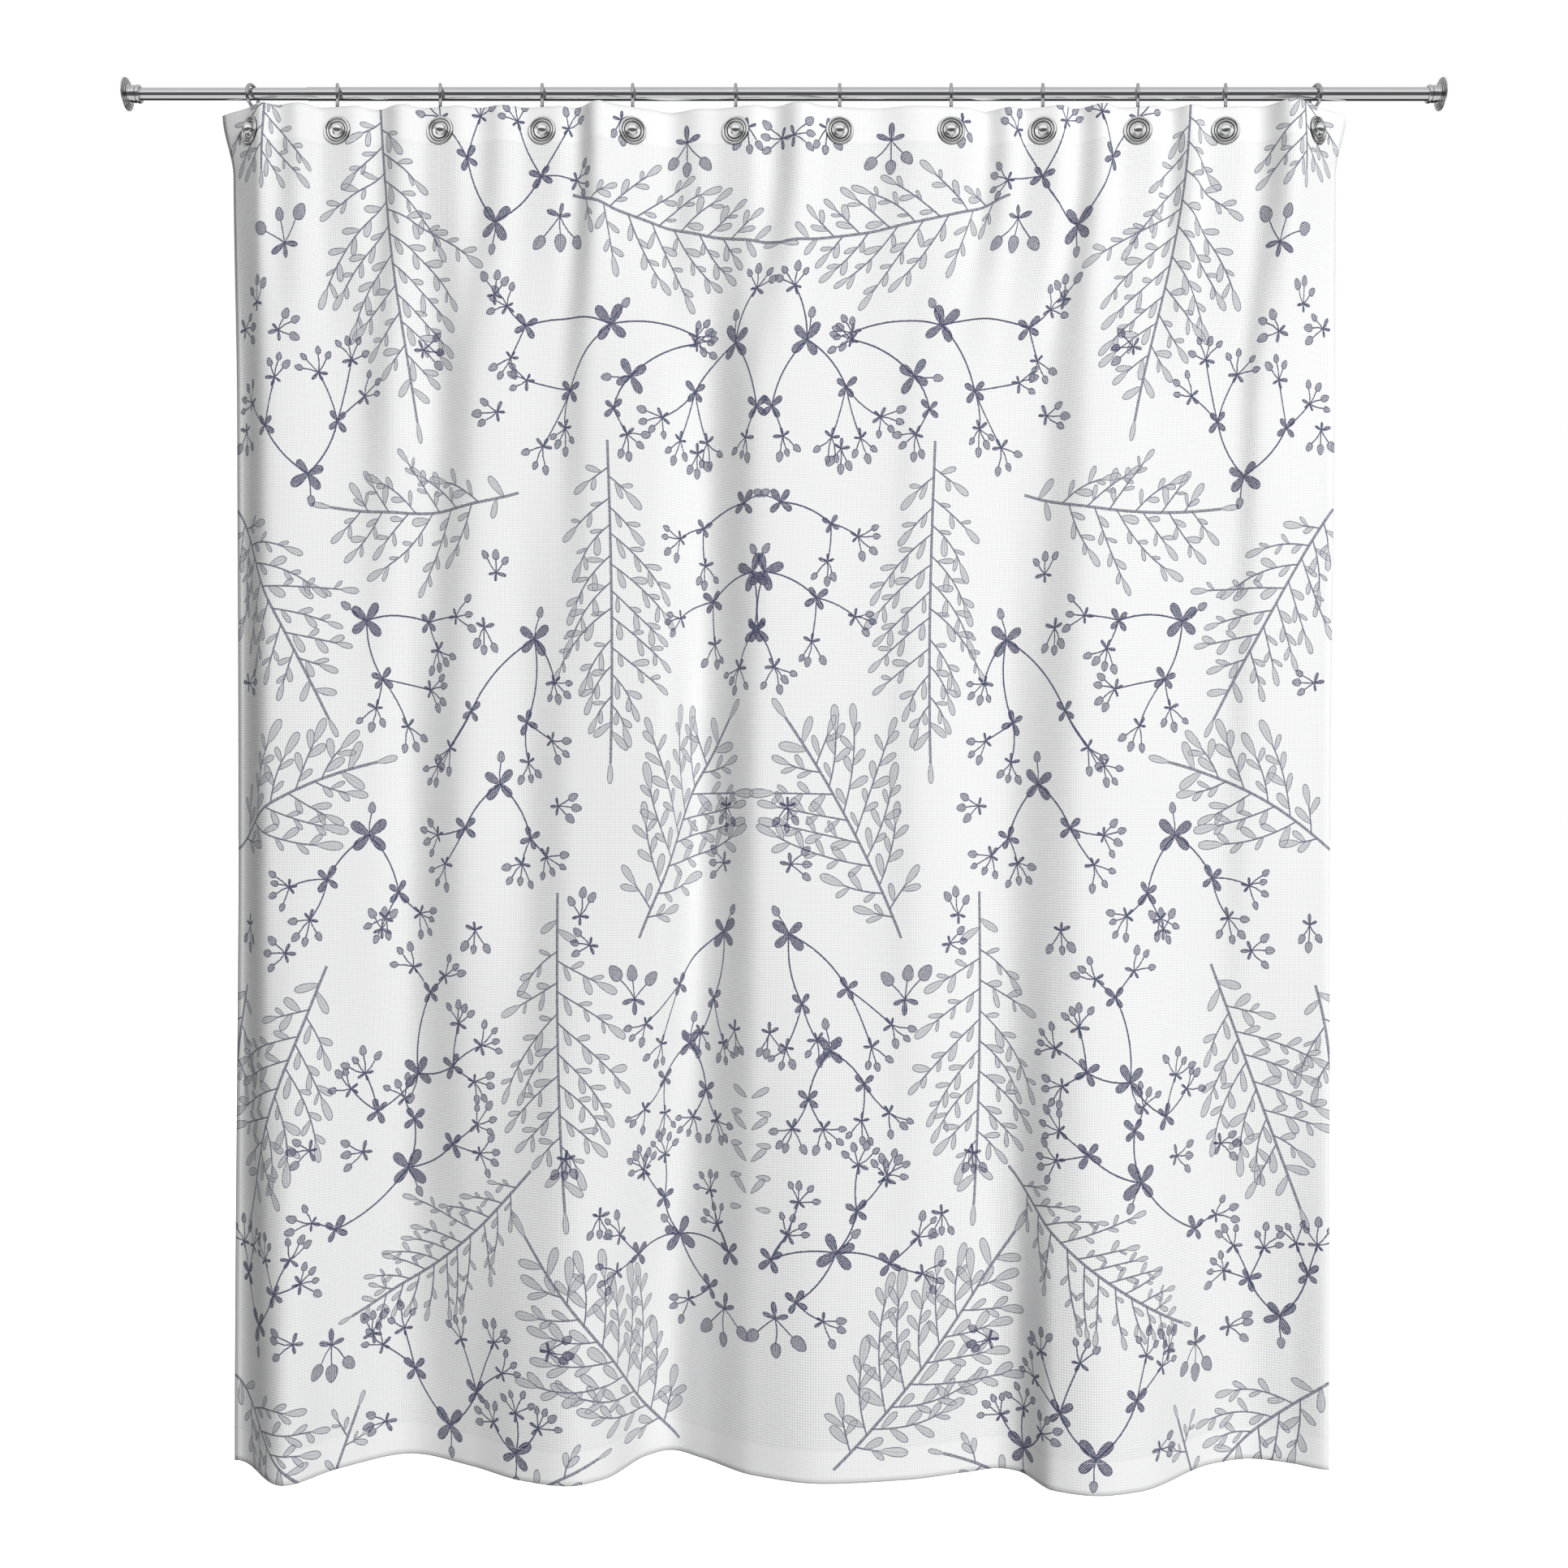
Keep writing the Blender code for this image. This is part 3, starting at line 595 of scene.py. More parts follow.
def reached_cells(mark):
    """The cells of the cloth that a mark's ink may reach, and how far off each is."""
    u, v, angle, length, width, _ = mark
    width *= 1.4  # a leaf is up to this much wider at one end
    c, s = math.cos(angle), math.sin(angle)
    reach_u = abs(c) * length + abs(s) * width + INK_MARGIN
    reach_v = abs(s) * length + abs(c) * width + INK_MARGIN
    columns = range(int((u - reach_u) // CELL_WIDE), int((u + reach_u) // CELL_WIDE) + 1)
    rows = range(int((v - reach_v) // CELL_HIGH), int((v + reach_v) // CELL_HIGH) + 1)
    length += (abs(c) * CELL_WIDE + abs(s) * CELL_HIGH) / 2
    width += (abs(s) * CELL_WIDE + abs(c) * CELL_HIGH) / 2
    for column in set(columns) & set(range(COLUMNS)):
        for row in set(rows) & set(range(ROWS)):
            du = (column + 0.5) * CELL_WIDE - u
            dv = (row + 0.5) * CELL_HIGH - v
            far = max(abs(du * c + dv * s) - length, abs(dv * c - du * s) - width)
            if far < INK_MARGIN:
                yield row * COLUMNS + column, far


def mark_table():
    """The nearest few marks of each cell, as an array of cells by slots by numbers."""
    ink = Print(seed=7)
    draw_sprigs(ink)
    draw_sprays(ink)
    draw_bunches(ink)
    found = {}
    for mark in ink.marks:
        for cell, far in reached_cells(mark):
            found.setdefault(cell, []).append((far, mark))
    table = np.zeros((ROWS * COLUMNS, SLOTS, 6), np.float32)
    table[:, :, 3:5] = 0.001
    for cell, marks in found.items():
        marks.sort(key=lambda item: item[0])
        for slot, (_, mark) in enumerate(marks[:SLOTS]):
            table[cell, slot] = mark
    return table


# Node helpers


class Tree:
    """Shader nodes, built from values and sockets."""

    def __init__(self, tree):
        self.tree = tree

    def put(self, socket, value):
        if isinstance(value, bpy.types.NodeSocket):
            self.tree.links.new(value, socket)
        elif value is not None:
            socket.default_value = value

    def node(self, kind, inputs=(), **settings):
        made = self.tree.nodes.new(kind)
        for name, value in settings.items():
            setattr(made, name, value)
        pairs = inputs.items() if isinstance(inputs, dict) else enumerate(inputs)
        for key, value in pairs:
            self.put(made.inputs[key], value)
        return made

    def math(self, operation, *inputs, clamp=False):
        return self.node("ShaderNodeMath", inputs, operation=operation, use_clamp=clamp).outputs[0]

    def vector(self, operation, *inputs):
        return self.node("ShaderNodeVectorMath", inputs, operation=operation)

    def noise(self, place, scale, detail=2.0, roughness=0.5):
        inputs = {"Vector": place, "Scale": scale, "Detail": detail, "Roughness": roughness}
        return self.node("ShaderNodeTexNoise", inputs).outputs["Fac"]

    def split(self, vector):
        return self.node("ShaderNodeSeparateXYZ", [vector]).outputs

    def join(self, x, y):
        return self.node("ShaderNodeCombineXYZ", [x, y]).outputs[0]

    def remap(self, value, low, high, to_low=0.0, to_high=1.0):
        return self.node("ShaderNodeMapRange", [value, low, high, to_low, to_high]).outputs[0]

    def mix(self, share, a, b):
        made = self.node("ShaderNodeMix", data_type="RGBA")
        self.put(made.inputs[0], share)
        self.put(made.inputs[6], a)
        self.put(made.inputs[7], b)
        return made.outputs[2]


def new_material(name):
    made = bpy.data.materials.new(name)
    made.use_nodes = True
    shader = made.node_tree.nodes["Principled BSDF"]
    return made, Tree(made.node_tree), shader


def mark_edge(t, x, y, half_length, half_width, style, is_stem):
    """How far outside a mark's outline a place is."""
    # a leaf is an ellipse that widens towards its tip, and a bud is one that narrows
    along = t.math("DIVIDE", x, half_length)
    is_bud = t.math("COMPARE", style, NAVY_BUD, 0.05)
    bulge = t.math("MULTIPLY_ADD", along, t.math("MULTIPLY_ADD", is_bud, -0.56, 0.34), 1.0)
    width = t.math("MULTIPLY", half_width, t.math("MAXIMUM", bulge, 0.3))
    across = t.math("DIVIDE", y, width)
    near = t.vector("LENGTH", t.join(along, across)).outputs["Value"]
    steepness = t.join(t.math("DIVIDE", along, half_length), t.math("DIVIDE", across, width))
    slope = t.vector("LENGTH", steepness).outputs["Value"]
    leaf = t.math("DIVIDE", t.math("MULTIPLY", near, t.math("SUBTRACT", near, 1.0)), slope)
    # a stem is a bar
    past_end = t.math("SUBTRACT", t.math("ABSOLUTE", x), half_length)
    past_side = t.math("SUBTRACT", t.math("ABSOLUTE", y), half_width)
    choice = t.node("ShaderNodeMix", [is_stem], data_type="FLOAT")
    t.put(choice.inputs[2], leaf)
    t.put(choice.inputs[3], t.math("MAXIMUM", past_end, past_side))
    return choice.outputs[0]


def mark_ink(t, y, edge, style, is_stem, wobble, grain):
    """A dark outline, with strokes and a vein along the inside."""
    inside = t.math("MULTIPLY_ADD", edge, -EDGE_SHARPNESS, 0.6, clamp=True)
    core = t.math("MULTIPLY_ADD", edge, -EDGE_SHARPNESS, -2.0, clamp=True)
    lines = t.math("MULTIPLY_ADD", wobble, 1.6, t.math("MULTIPLY", y, STROKES))
    hatch = t.math("SINE", t.math("MULTIPLY_ADD", grain, 2.0, lines))
    # buds and petals are inked more heavily than leaves
    is_navy = t.math("GREATER_THAN", style, 2.5)
    weight = t.math("MULTIPLY_ADD", t.math("MODULO", style, 1.0), 1.35, 0.44)
    weight = t.math("MAXIMUM", weight, t.math("MULTIPLY", is_stem, 0.80))
    depth = t.math("MULTIPLY_ADD", is_navy, 0.12, 0.22)
    fill = t.math("MULTIPLY", weight, t.math("MULTIPLY_ADD", hatch, depth, 0.86))
    vein = t.remap(t.math("ABSOLUTE", y), 0.0002, 0.0006, 0.72, 0.0)
    ring = t.math("MULTIPLY", t.math("SUBTRACT", inside, core), 0.98)
    ink = t.math("MULTIPLY_ADD", core, t.math("MAXIMUM", fill, vein), ring)
    # an empty slot has no style
    ink = t.math("MULTIPLY", ink, t.math("GREATER_THAN", style, 0.5))
    navy = t.math("MULTIPLY", ink, is_navy)
    return t.math("SUBTRACT", ink, navy), navy


def mark_group():
    """Adds one mark to the grey and the navy ink at a place on the flat cloth."""
    group = bpy.data.node_groups.new("mark", "ShaderNodeTree")
    for in_out, kind, names in (
        ("INPUT", "NodeSocketVector", ("Flat", "Place", "Size")),
        ("INPUT", "NodeSocketFloat", ("Wobble", "Grain", "Grey", "Navy")),
        ("OUTPUT", "NodeSocketFloat", ("Grey", "Navy")),
    ):
        for name in names:
            group.interface.new_socket(name=name, in_out=in_out, socket_type=kind)
    t = Tree(group)
    given = group.nodes.new("NodeGroupInput").outputs
    wobble, grain = given["Wobble"], given["Grain"]
    place = t.split(given["Place"])
    half_length, half_width, style = t.split(given["Size"])
    offset = t.vector("SUBTRACT", given["Flat"], given["Place"]).outputs[0]
    turn = {"Vector": offset, "Angle": t.math("MULTIPLY", place[2], -1.0)}
    own = t.split(t.node("ShaderNodeVectorRotate", turn, rotation_type="Z_AXIS").outputs[0])
    x, y = own[0], t.math("MULTIPLY_ADD", wobble, UNSTEADINESS, own[1])
    is_stem = t.math("GREATER_THAN", t.math("MODULO", style, 2.0), 0.9)
    edge = mark_edge(t, x, y, half_length, half_width, style, is_stem)
    edge = t.math("MULTIPLY_ADD", wobble, UNSTEADINESS, edge)
    grey, navy = mark_ink(t, y, edge, style, is_stem, wobble, grain)
    out = group.nodes.new("NodeGroupOutput")
    t.put(out.inputs["Grey"], t.math("MAXIMUM", grey, given["Grey"]))
    t.put(out.inputs["Navy"], t.math("MAXIMUM", navy, given["Navy"]))
    return group


def weave_height(t, flat):
    """The waffle weave's raised squares, and the threads over them."""
    u, v, _ = t.split(flat)
    pitch = 0.0036
    ridge_u = t.math("ABSOLUTE", t.math("SINE", t.math("MULTIPLY", u, math.pi / pitch)))
    ridge_v = t.math("ABSOLUTE", t.math("SINE", t.math("MULTIPLY", v, math.pi / pitch)))
    pit = t.math("MULTIPLY", ridge_u, ridge_v)
    thread = t.math("SINE", t.math("MULTIPLY", t.math("ADD", u, v), 2 * math.pi / 0.0007))
    return t.math("MULTIPLY_ADD", thread, 0.06, pit)


def hem_share(t, flat):
    """1 on the doubled cloth of the hems, 0 on the rest."""
    u, v, _ = t.split(flat)
    top = t.math("LESS_THAN", v, HEM_TOP)
    bottom = t.math("GREATER_THAN", v, CLOTH_DROP - HEM_BOTTOM)
    from_middle = t.math("ABSOLUTE", t.math("SUBTRACT", u, CLOTH_WIDTH / 2))
    side = t.math("GREATER_THAN", from_middle, CLOTH_WIDTH / 2 - HEM_SIDE)
    return t.math("MAXIMUM", t.math("MAXIMUM", top, bottom), side)


def hem_edge_shadow(t, flat):
    """1 along the edge of the top and bottom hems, fading within a millimetre, where a thin shadow
    line is painted.
    """
    v = t.split(flat)[1]
    from_top = t.math("ABSOLUTE", t.math("SUBTRACT", v, HEM_TOP))
    from_bottom = t.math("ABSOLUTE", t.math("SUBTRACT", v, CLOTH_DROP - HEM_BOTTOM))
    return t.remap(t.math("MINIMUM", from_top, from_bottom), 0.0003, 0.0014, 1.0, 0.0)


def cloth_material(name, group, strength):
    """White waffle-weave polyester with the print at a share of its strength."""
    made, t, shader = new_material(name)
    flat = t.node("ShaderNodeUVMap", uv_map="flat").outputs[0]
    grain = t.noise(flat, 900.0, 2.0, 0.6)
    wobble = t.math("MULTIPLY_ADD", t.noise(flat, 420.0, 1.0), 2.0, -1.0)
    grey, navy = 0.0, 0.0
    for slot in range(SLOTS):
        place = t.node("ShaderNodeAttribute", attribute_name=f"mark_place_{slot}")
        size = t.node("ShaderNodeAttribute", attribute_name=f"mark_size_{slot}")
        inputs = [
            flat, place.outputs["Vector"], size.outputs["Vector"], wobble, grain, grey, navy
        ]
        mark = t.tree.nodes.new("ShaderNodeGroup")
        mark.node_tree = group
        for socket, value in zip(mark.inputs, inputs):
            t.put(socket, value)
        grey, navy = mark.outputs
    height = weave_height(t, flat)
    hem = hem_share(t, flat)
    # painted shade: the weave's pits are greyed, as if shaded
    pit_shade = t.math("MULTIPLY", t.math("SUBTRACT", 1.0, height), 0.10)
    white = t.mix(pit_shade, (0.905, 0.905, 0.905, 1), (0.60, 0.60, 0.61, 1))
    cloudy = t.remap(t.noise(flat, 3.0, 3.0), 0.3, 0.7, 0.0, 0.05)
    white = t.mix(cloudy, white, (0.78, 0.78, 0.80, 1))
    # painted shadow: a thin grey line along the edge of each hem
    white = t.mix(t.math("MULTIPLY", hem_edge_shadow(t, flat), 0.22), white, (0.55, 0.55, 0.57, 1))
    white = t.mix(t.math("MULTIPLY", hem, 0.22), white, (0.92, 0.92, 0.92, 1))
    fade = t.remap(grain, 0.30, 0.60, 0.86, 1.0)
    grey = t.math("MULTIPLY", t.math("MULTIPLY", grey, fade), 0.95 * strength)
    navy = t.math("MULTIPLY", t.math("MULTIPLY", navy, fade), 0.98 * strength)
    colour = t.mix(grey, white, (0.098, 0.102, 0.165, 1))
    colour = t.mix(navy, colour, (0.028, 0.034, 0.104, 1))
    bump = {
        "Strength": t.math("MULTIPLY_ADD", hem, -0.45, 0.8),
        "Distance": 0.0006,
        "Height": height,
    }
    t.put(shader.inputs["Base Color"], colour)
    t.put(shader.inputs["Normal"], t.node("ShaderNodeBump", bump).outputs[0])
    shader.inputs["Roughness"].default_value = 0.82
    shader.inputs["Specular IOR Level"].default_value = 0.25
    shader.inputs["Sheen Weight"].default_value = 0.15
    shader.inputs["Sheen Roughness"].default_value = 0.5
    return made


def chrome_material(name, roughness, colour):
    """Bright plating with faint smears and fine wear."""
    made, t, shader = new_material(name)
    place = t.node("ShaderNodeTexCoord").outputs["Object"]
    smear = t.noise(place, 60.0, 3.0, 0.6)
    fine = t.noise(place, 900.0, 2.0, 0.6)
    rough = t.remap(smear, 0.35, 0.70, roughness * 0.75, roughness * 1.5)
    t.put(shader.inputs["Roughness"], rough)
    dark = tuple(c * 0.93 for c in colour)
    t.put(shader.inputs["Base Color"], t.mix(smear, (*colour, 1), (*dark, 1)))
    bump = {"Strength": 0.02, "Distance": 0.0001, "Height": fine}
    t.put(shader.inputs["Normal"], t.node("ShaderNodeBump", bump).outputs[0])
    shader.inputs["Metallic"].default_value = 1.0
    return made


def plain_material(name, colour, roughness, grain_scale):
    """Moulded rubber or nylon with a fine grain."""
    made, t, shader = new_material(name)
    place = t.node("ShaderNodeTexCoord").outputs["Object"]
    grain = t.noise(place, grain_scale, 3.0, 0.6)
    dark = tuple(c * 0.82 for c in colour)
    t.put(shader.inputs["Base Color"], t.mix(grain, (*dark, 1), (*colour, 1)))
    bump = {"Strength": 0.3, "Distance": 0.0002, "Height": grain}
    t.put(shader.inputs["Normal"], t.node("ShaderNodeBump", bump).outputs[0])
    shader.inputs["Roughness"].default_value = roughness
    return made


# Mesh helpers


def add_mesh(name, vertices, faces, shades, materials, sharp=None):
    """A mesh object. Each face's shade says which of the materials it takes."""
    mesh = bpy.data.meshes.new(name)
    mesh.from_pydata([tuple(v) for v in vertices], [], faces)
    mesh.polygons.foreach_set("use_smooth", [True] * len(mesh.polygons))
    if shades:
        mesh.polygons.foreach_set("material_index", shades)
    if sharp is not None:
        mesh.set_sharp_from_angle(angle=math.radians(sharp))
    obj = bpy.data.objects.new(name, mesh)
    bpy.context.scene.collection.objects.link(obj)
    for material in materials:
        mesh.materials.append(material)
    return obj


def lathe(profile, steps, matrix, crevices=()):
    """A profile of (radius, height) points turned about Z, and then put in place.

    Its faces between the radii of a crevice take the second material, which paints them dark as
    shade.
    """
    vertices, faces, shades = [], [], []
    index = {}
    for i in range(steps):
        angle = 2 * math.pi * i / steps
        c, s = math.cos(angle), math.sin(angle)
        for j, (radius, height) in enumerate(profile):
            if radius == 0.0 and i:
                index[i, j] = index[0, j]
                continue
            index[i, j] = len(vertices)
            vertices.append(matrix @ Vector((radius * c, radius * s, height)))
    for i in range(steps):
        n = (i + 1) % steps
        for j, (radius, _) in enumerate(profile):
            k = (j + 1) % len(profile)
            corners = dict.fromkeys((index[i, j], index[i, k], index[n, k], index[n, j]))
            if len(corners) > 2:
                faces.append(tuple(corners))
                middle = (radius + profile[k][0]) / 2
                shades.append(int(any(low <= middle <= high for low, high in crevices)))
    return vertices, faces, shades


def merged(*shapes):
    vertices, faces, shades = [], [], []
    for more_vertices, more_faces, more_shades in shapes:
        start = len(vertices)
        vertices += list(more_vertices)
        faces += [tuple(i + start for i in face) for face in more_faces]
        shades += more_shades
    return vertices, faces, shades


def sweep(points, radii, sides, matrix):
    """A round wire along (forward, up) points, closed at both ends."""
    points = np.array(points)
    ways = np.gradient(points, axis=0)
    ways /= np.linalg.norm(ways, axis=1)[:, None]
    vertices, faces = [], []
    for (forward, up), (way_f, way_u), radius in zip(points, ways, radii):
        for k in range(sides):
            angle = 2 * math.pi * k / sides
            c, s = radius * math.cos(angle), radius * math.sin(angle)
            vertices.append(matrix @ Vector((s, -(forward - way_u * c), up + way_f * c)))
    for i in range(len(points) - 1):
        for k in range(sides):
            m = (k + 1) % sides
            a, b = i * sides, (i + 1) * sides
            faces.append((a + k, a + m, b + m, b + k))
    faces.append(tuple(range(sides))[::-1])
    faces.append(tuple(range((len(points) - 1) * sides, len(points) * sides)))
    return vertices, faces, [0] * len(faces)


def settle(obj, body, slot, *nodes):
    """The piece moves with a body and stands for these CAD nodes. Its slot is not used."""
    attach(obj, body)
    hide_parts(*nodes)


def repaint(node, material):
    """A CAD node that is shown as it is, in a better material."""
    materials = bpy.data.objects[node].data.materials
    materials.clear()
    materials.append(material)


# The rod


def along_rod(x, towards):
    return Matrix.Translation((x, 0, 0)) @ Matrix.Rotation(towards * math.pi / 2, 4, "Y")


def tube(name, radius, start, end, material, lip):
    """An open tube with a rounded lip at its free end."""
    bore = radius - TUBE_WALL
    length = end - start
    profile = [(radius, length), (radius, lip), (radius - lip * 0.3, 0), (bore, 0), (bore, length)]
    return add_mesh(name, *lathe(profile, 96, along_rod(start, 1)), [material], sharp=30)


def flange_profile(tube_r):
    """Three rounded steps up to a waisted hub with a socket for the tube."""
    socket_r = tube_r + GAP
    step, face = FLANGE_STEP, FLANGE_FACE
    tread = (FLANGE_R - HUB_R) / 4
    profile = [(0.0, SOCKET_FLOOR), (socket_r, SOCKET_FLOOR), (socket_r, HUB_END)]
    profile += [(HUB_R - 0.0014, HUB_END), (HUB_R - 0.0004, HUB_END - 0.0006)]
    profile += [(HUB_R, HUB_END - 0.0018), (HUB_R - 0.0003, HUB_BASE + 0.0042)]
    profile += [(HUB_R - 0.0010, HUB_BASE + 0.0018), (HUB_R - 0.0006, HUB_BASE + 0.0004)]
    for i in (1, 2, 3):
        radius = HUB_R + tread * i
        level = face + step * (4 - i)
        profile += [(radius - 0.0007, level), (radius - 0.0002, level - 0.00015)]
        profile += [(radius, level - 0.0005), (radius, level - step)]
        profile += [(radius + 0.0007, level - step)]
    profile += [(FLANGE_R - 0.0016, face), (FLANGE_R - 0.0005, face - 0.0003)]
    profile += [(FLANGE_R, face - 0.0009), (FLANGE_R, PAD_PROUD + 0.0003)]
    profile += [(FLANGE_R - 0.0003, PAD_PROUD), (PAD_R + GAP, PAD_PROUD)]
    profile += [(PAD_R + GAP, 0.0018), (0.0, 0.0018)]
    return profile


def collar_profile(tube_r):
    bore = tube_r + GAP
    start = HUB_END + GAP
    end = start + COLLAR_LENGTH
    middle = (start + end) / 2
    profile = [(bore, start), (COLLAR_R - 0.0012, start)]
    for i in range(9):
        angle = math.radians(-70 + 155 * i / 8)
        half = COLLAR_LENGTH / 2 - 0.0002
        bulge = 0.0018
        radius = COLLAR_R - bulge + bulge * math.cos(angle)
        profile.append((radius, middle + half * math.sin(angle)))
    profile += [(bore + 0.0006, end - 0.0002), (bore, end - 0.0002)]
    return profile


def flange_crevices():
    """Between the flange's steps, which are painted dark as shade."""
    tread = (FLANGE_R - HUB_R) / 4
    return [(HUB_R + tread * i, HUB_R + tread * i + 0.0007) for i in (1, 2, 3)]


def rod(chrome, crevice_shade, rubber, nylon):
    start = SOCKET_FLOOR + GAP
    narrow = tube("rod_narrow_tube", NARROW_TUBE_R, start, NARROW_TUBE_END, chrome, 0.0002)
    wide = tube("rod_wide_tube", WIDE_TUBE_R, SEAM_X, ROD_SPAN - start, chrome, 0.0003)
    settle(narrow, "narrow_half", "rod_chrome", "narrow_tube")
    settle(wide, "wide_half", "rod_chrome", "wide_tube")
    for side, x, towards, tube_r, body in (
        ("left", 0.0, 1, NARROW_TUBE_R, "narrow_half"),
        ("right", ROD_SPAN, -1, WIDE_TUBE_R, "wide_half"),
    ):
        for kind, profile, crevices in (
            ("flange", flange_profile(tube_r), flange_crevices()),
            ("collar", collar_profile(tube_r), ()),
        ):
            shape = lathe(profile, 96, along_rod(x, towards), crevices)
            obj = add_mesh(f"rod_{side}_{kind}", *shape, [chrome, crevice_shade], sharp=35)
            settle(obj, body, "flange_chrome", f"{side}_{kind}")
        repaint(f"{side}_wall_pad", rubber)
    repaint("twist_lock_plug", nylon)


# The hooks and grommets


def ring_sag(yaw):
    clear_r = RING_INNER_R - RING_PLAY
    wide = needed_radius(yaw)
    straight = clear_r - WIDE_TUBE_R
    spread = wide**2 - WIDE_TUBE_R**2
    if straight * WIDE_TUBE_R >= spread:
        return straight
    return math.sqrt(max(spread * ((clear_r / wide) ** 2 - 1), 0))


def finial_back(tilt):
    """Where a finial starts along its hook, clear of a grommet at this tilt to it."""
    half = FINIAL_THICK / 2
    stand = math.hypot(FINIAL_R * math.sin(tilt), half * math.cos(tilt))
    middle = GROMMET_SEAT + DISH_HEIGHT + 2 * GAP + stand
    return middle / math.cos(tilt) - half


def hook_path(yaw, tilt):
    """A hook's centre line, as (forward, up) points from its tail to the finial."""
    sag = ring_sag(yaw)
    tuck, tail = RING_TUCK_ANGLE, RING_TAIL_ANGLE
    points = []
    for i in range(57):
        angle = tail - (tail + tuck) * i / 56
        points.append((RING_R * math.cos(angle), RING_R * math.sin(angle) - sag))
    tuck_r = RING_R * math.cos(tuck) / (1 - math.cos(tuck))
    stem_top = -sag - (RING_R + tuck_r) * math.sin(tuck)
    for i in range(1, 9):
        angle = tuck * (1 - i / 8)
        forward = tuck_r * (1 - math.cos(angle))
        points.append((forward, stem_top + tuck_r * math.sin(angle)))
    bend_top = HOOK_BEND_R - GROMMET_DROP
    points += [(0.0, stem_top + (bend_top - stem_top) * k) for k in (0.25, 0.5, 0.75)]
    for i in range(9):
        angle = math.pi / 2 * i / 8
        forward = HOOK_BEND_R * (1 - math.cos(angle))
        points.append((forward, HOOK_BEND_R * (1 - math.sin(angle)) - GROMMET_DROP))
    points.append((finial_back(tilt) + 0.0022, -GROMMET_DROP))
    return points


def hook_wire(yaw, tilt, matrix):
    """The wire, with its tail rounded off."""
    points = hook_path(yaw, tilt)
    radii = [WIRE_R] * len(points)
    (f0, u0), (f1, u1) = points[0], points[1]
    length = math.hypot(f1 - f0, u1 - u0)
    back = ((f0 - f1) / length, (u0 - u1) / length)
    cap = []
    for k in (0.35, 0.75, 0.95):
        reach = WIRE_R * 0.55 * k
        cap.insert(0, (f0 + back[0] * reach, u0 + back[1] * reach))
        radii.insert(0, WIRE_R * math.sqrt(1 - k * k))
    return sweep(cap + points, radii, 16, matrix)


def finial_shape(matrix):
    """A flattened ball on the hook's end, in the second material."""
    half = FINIAL_THICK / 2
    profile = []
    for i in range(17):
        angle = math.radians(90 - 150 * i / 16)
        radius = FINIAL_R * math.cos(angle) if i else 0.0
        profile.append((radius, half + half * math.sin(angle)))
    profile += [(WIRE_R + 0.0006, profile[-1][1]), (WIRE_R, profile[-1][1] + 0.0004)]
    profile += [(WIRE_R, half * 0.6), (0.0, half * 0.6)]
    vertices, faces, _ = lathe(profile, 40, matrix)
    return vertices, faces, [1] * len(faces)


def grommet_shape(matrix_front, matrix_back):
    """A rolled rim, an inner ring, a dished middle and the barrel, with the washer."""
    mm = 0.001
    face = (
        (19.3, 0.0), (19.3, 0.9), (18.9, 1.7), (18.1, 2.25), (17.3, 2.4), (16.5, 2.15),
        (15.9, 1.5), (15.5, 0.8), (15.0, 0.75), (14.7, 1.3), (14.2, 1.85), (13.5, 2.0),
        (12.8, 1.75), (12.3, 1.1), (11.9, 0.6), (11.3, 0.55), (10.8, 0.95), (10.2, 1.2),
        (9.5, 1.1), (8.9, 0.75), (7.9, 0.7), (6.8, 1.0), (6.3, 0.9), (6.0, 0.5),
    )
    barrel = GROMMET_SEAT - WASHER_BACK
    profile = [(radius * mm, height * mm) for radius, height in face]
    profile += [(GROMMET_HOLE_R, -barrel), (GROMMET_HOLE_R + 0.001, -barrel)]
    profile += [(GROMMET_HOLE_R + 0.001, 0.0)]
    washer = [(0.0073, 0.0), (0.0073, WASHER_THICK), (WASHER_R, WASHER_THICK)]
    washer += [(WASHER_R, 0.0006), (WASHER_R - 0.0006, 0.0), (0.0110, 0.0), (0.0090, 0.0002)]
    # painted shade: the grooves, the hole's barrel and the rim's foot take the dark crevice
    # material
    crevices = ((0.0149, 0.0159), (0.0110, 0.0122), (0.0, 0.0068), (0.0191, 0.0194))
    front = lathe(profile[::-1], 64, matrix_front, crevices)
    return merged(front, lathe(washer, 48, matrix_back))


def seat(x, forward, yaw, reach):
    """A place on a hook's or a grommet's own axis, with +Z facing out along it."""
    pivot = Matrix.Translation((x, -forward, 0)) @ Matrix.Rotation(math.radians(yaw), 4, "Z")
    lie = Matrix.Rotation(math.pi / 2, 4, "X")
    return pivot @ Matrix.Translation((0, -reach, -GROMMET_DROP)) @ lie


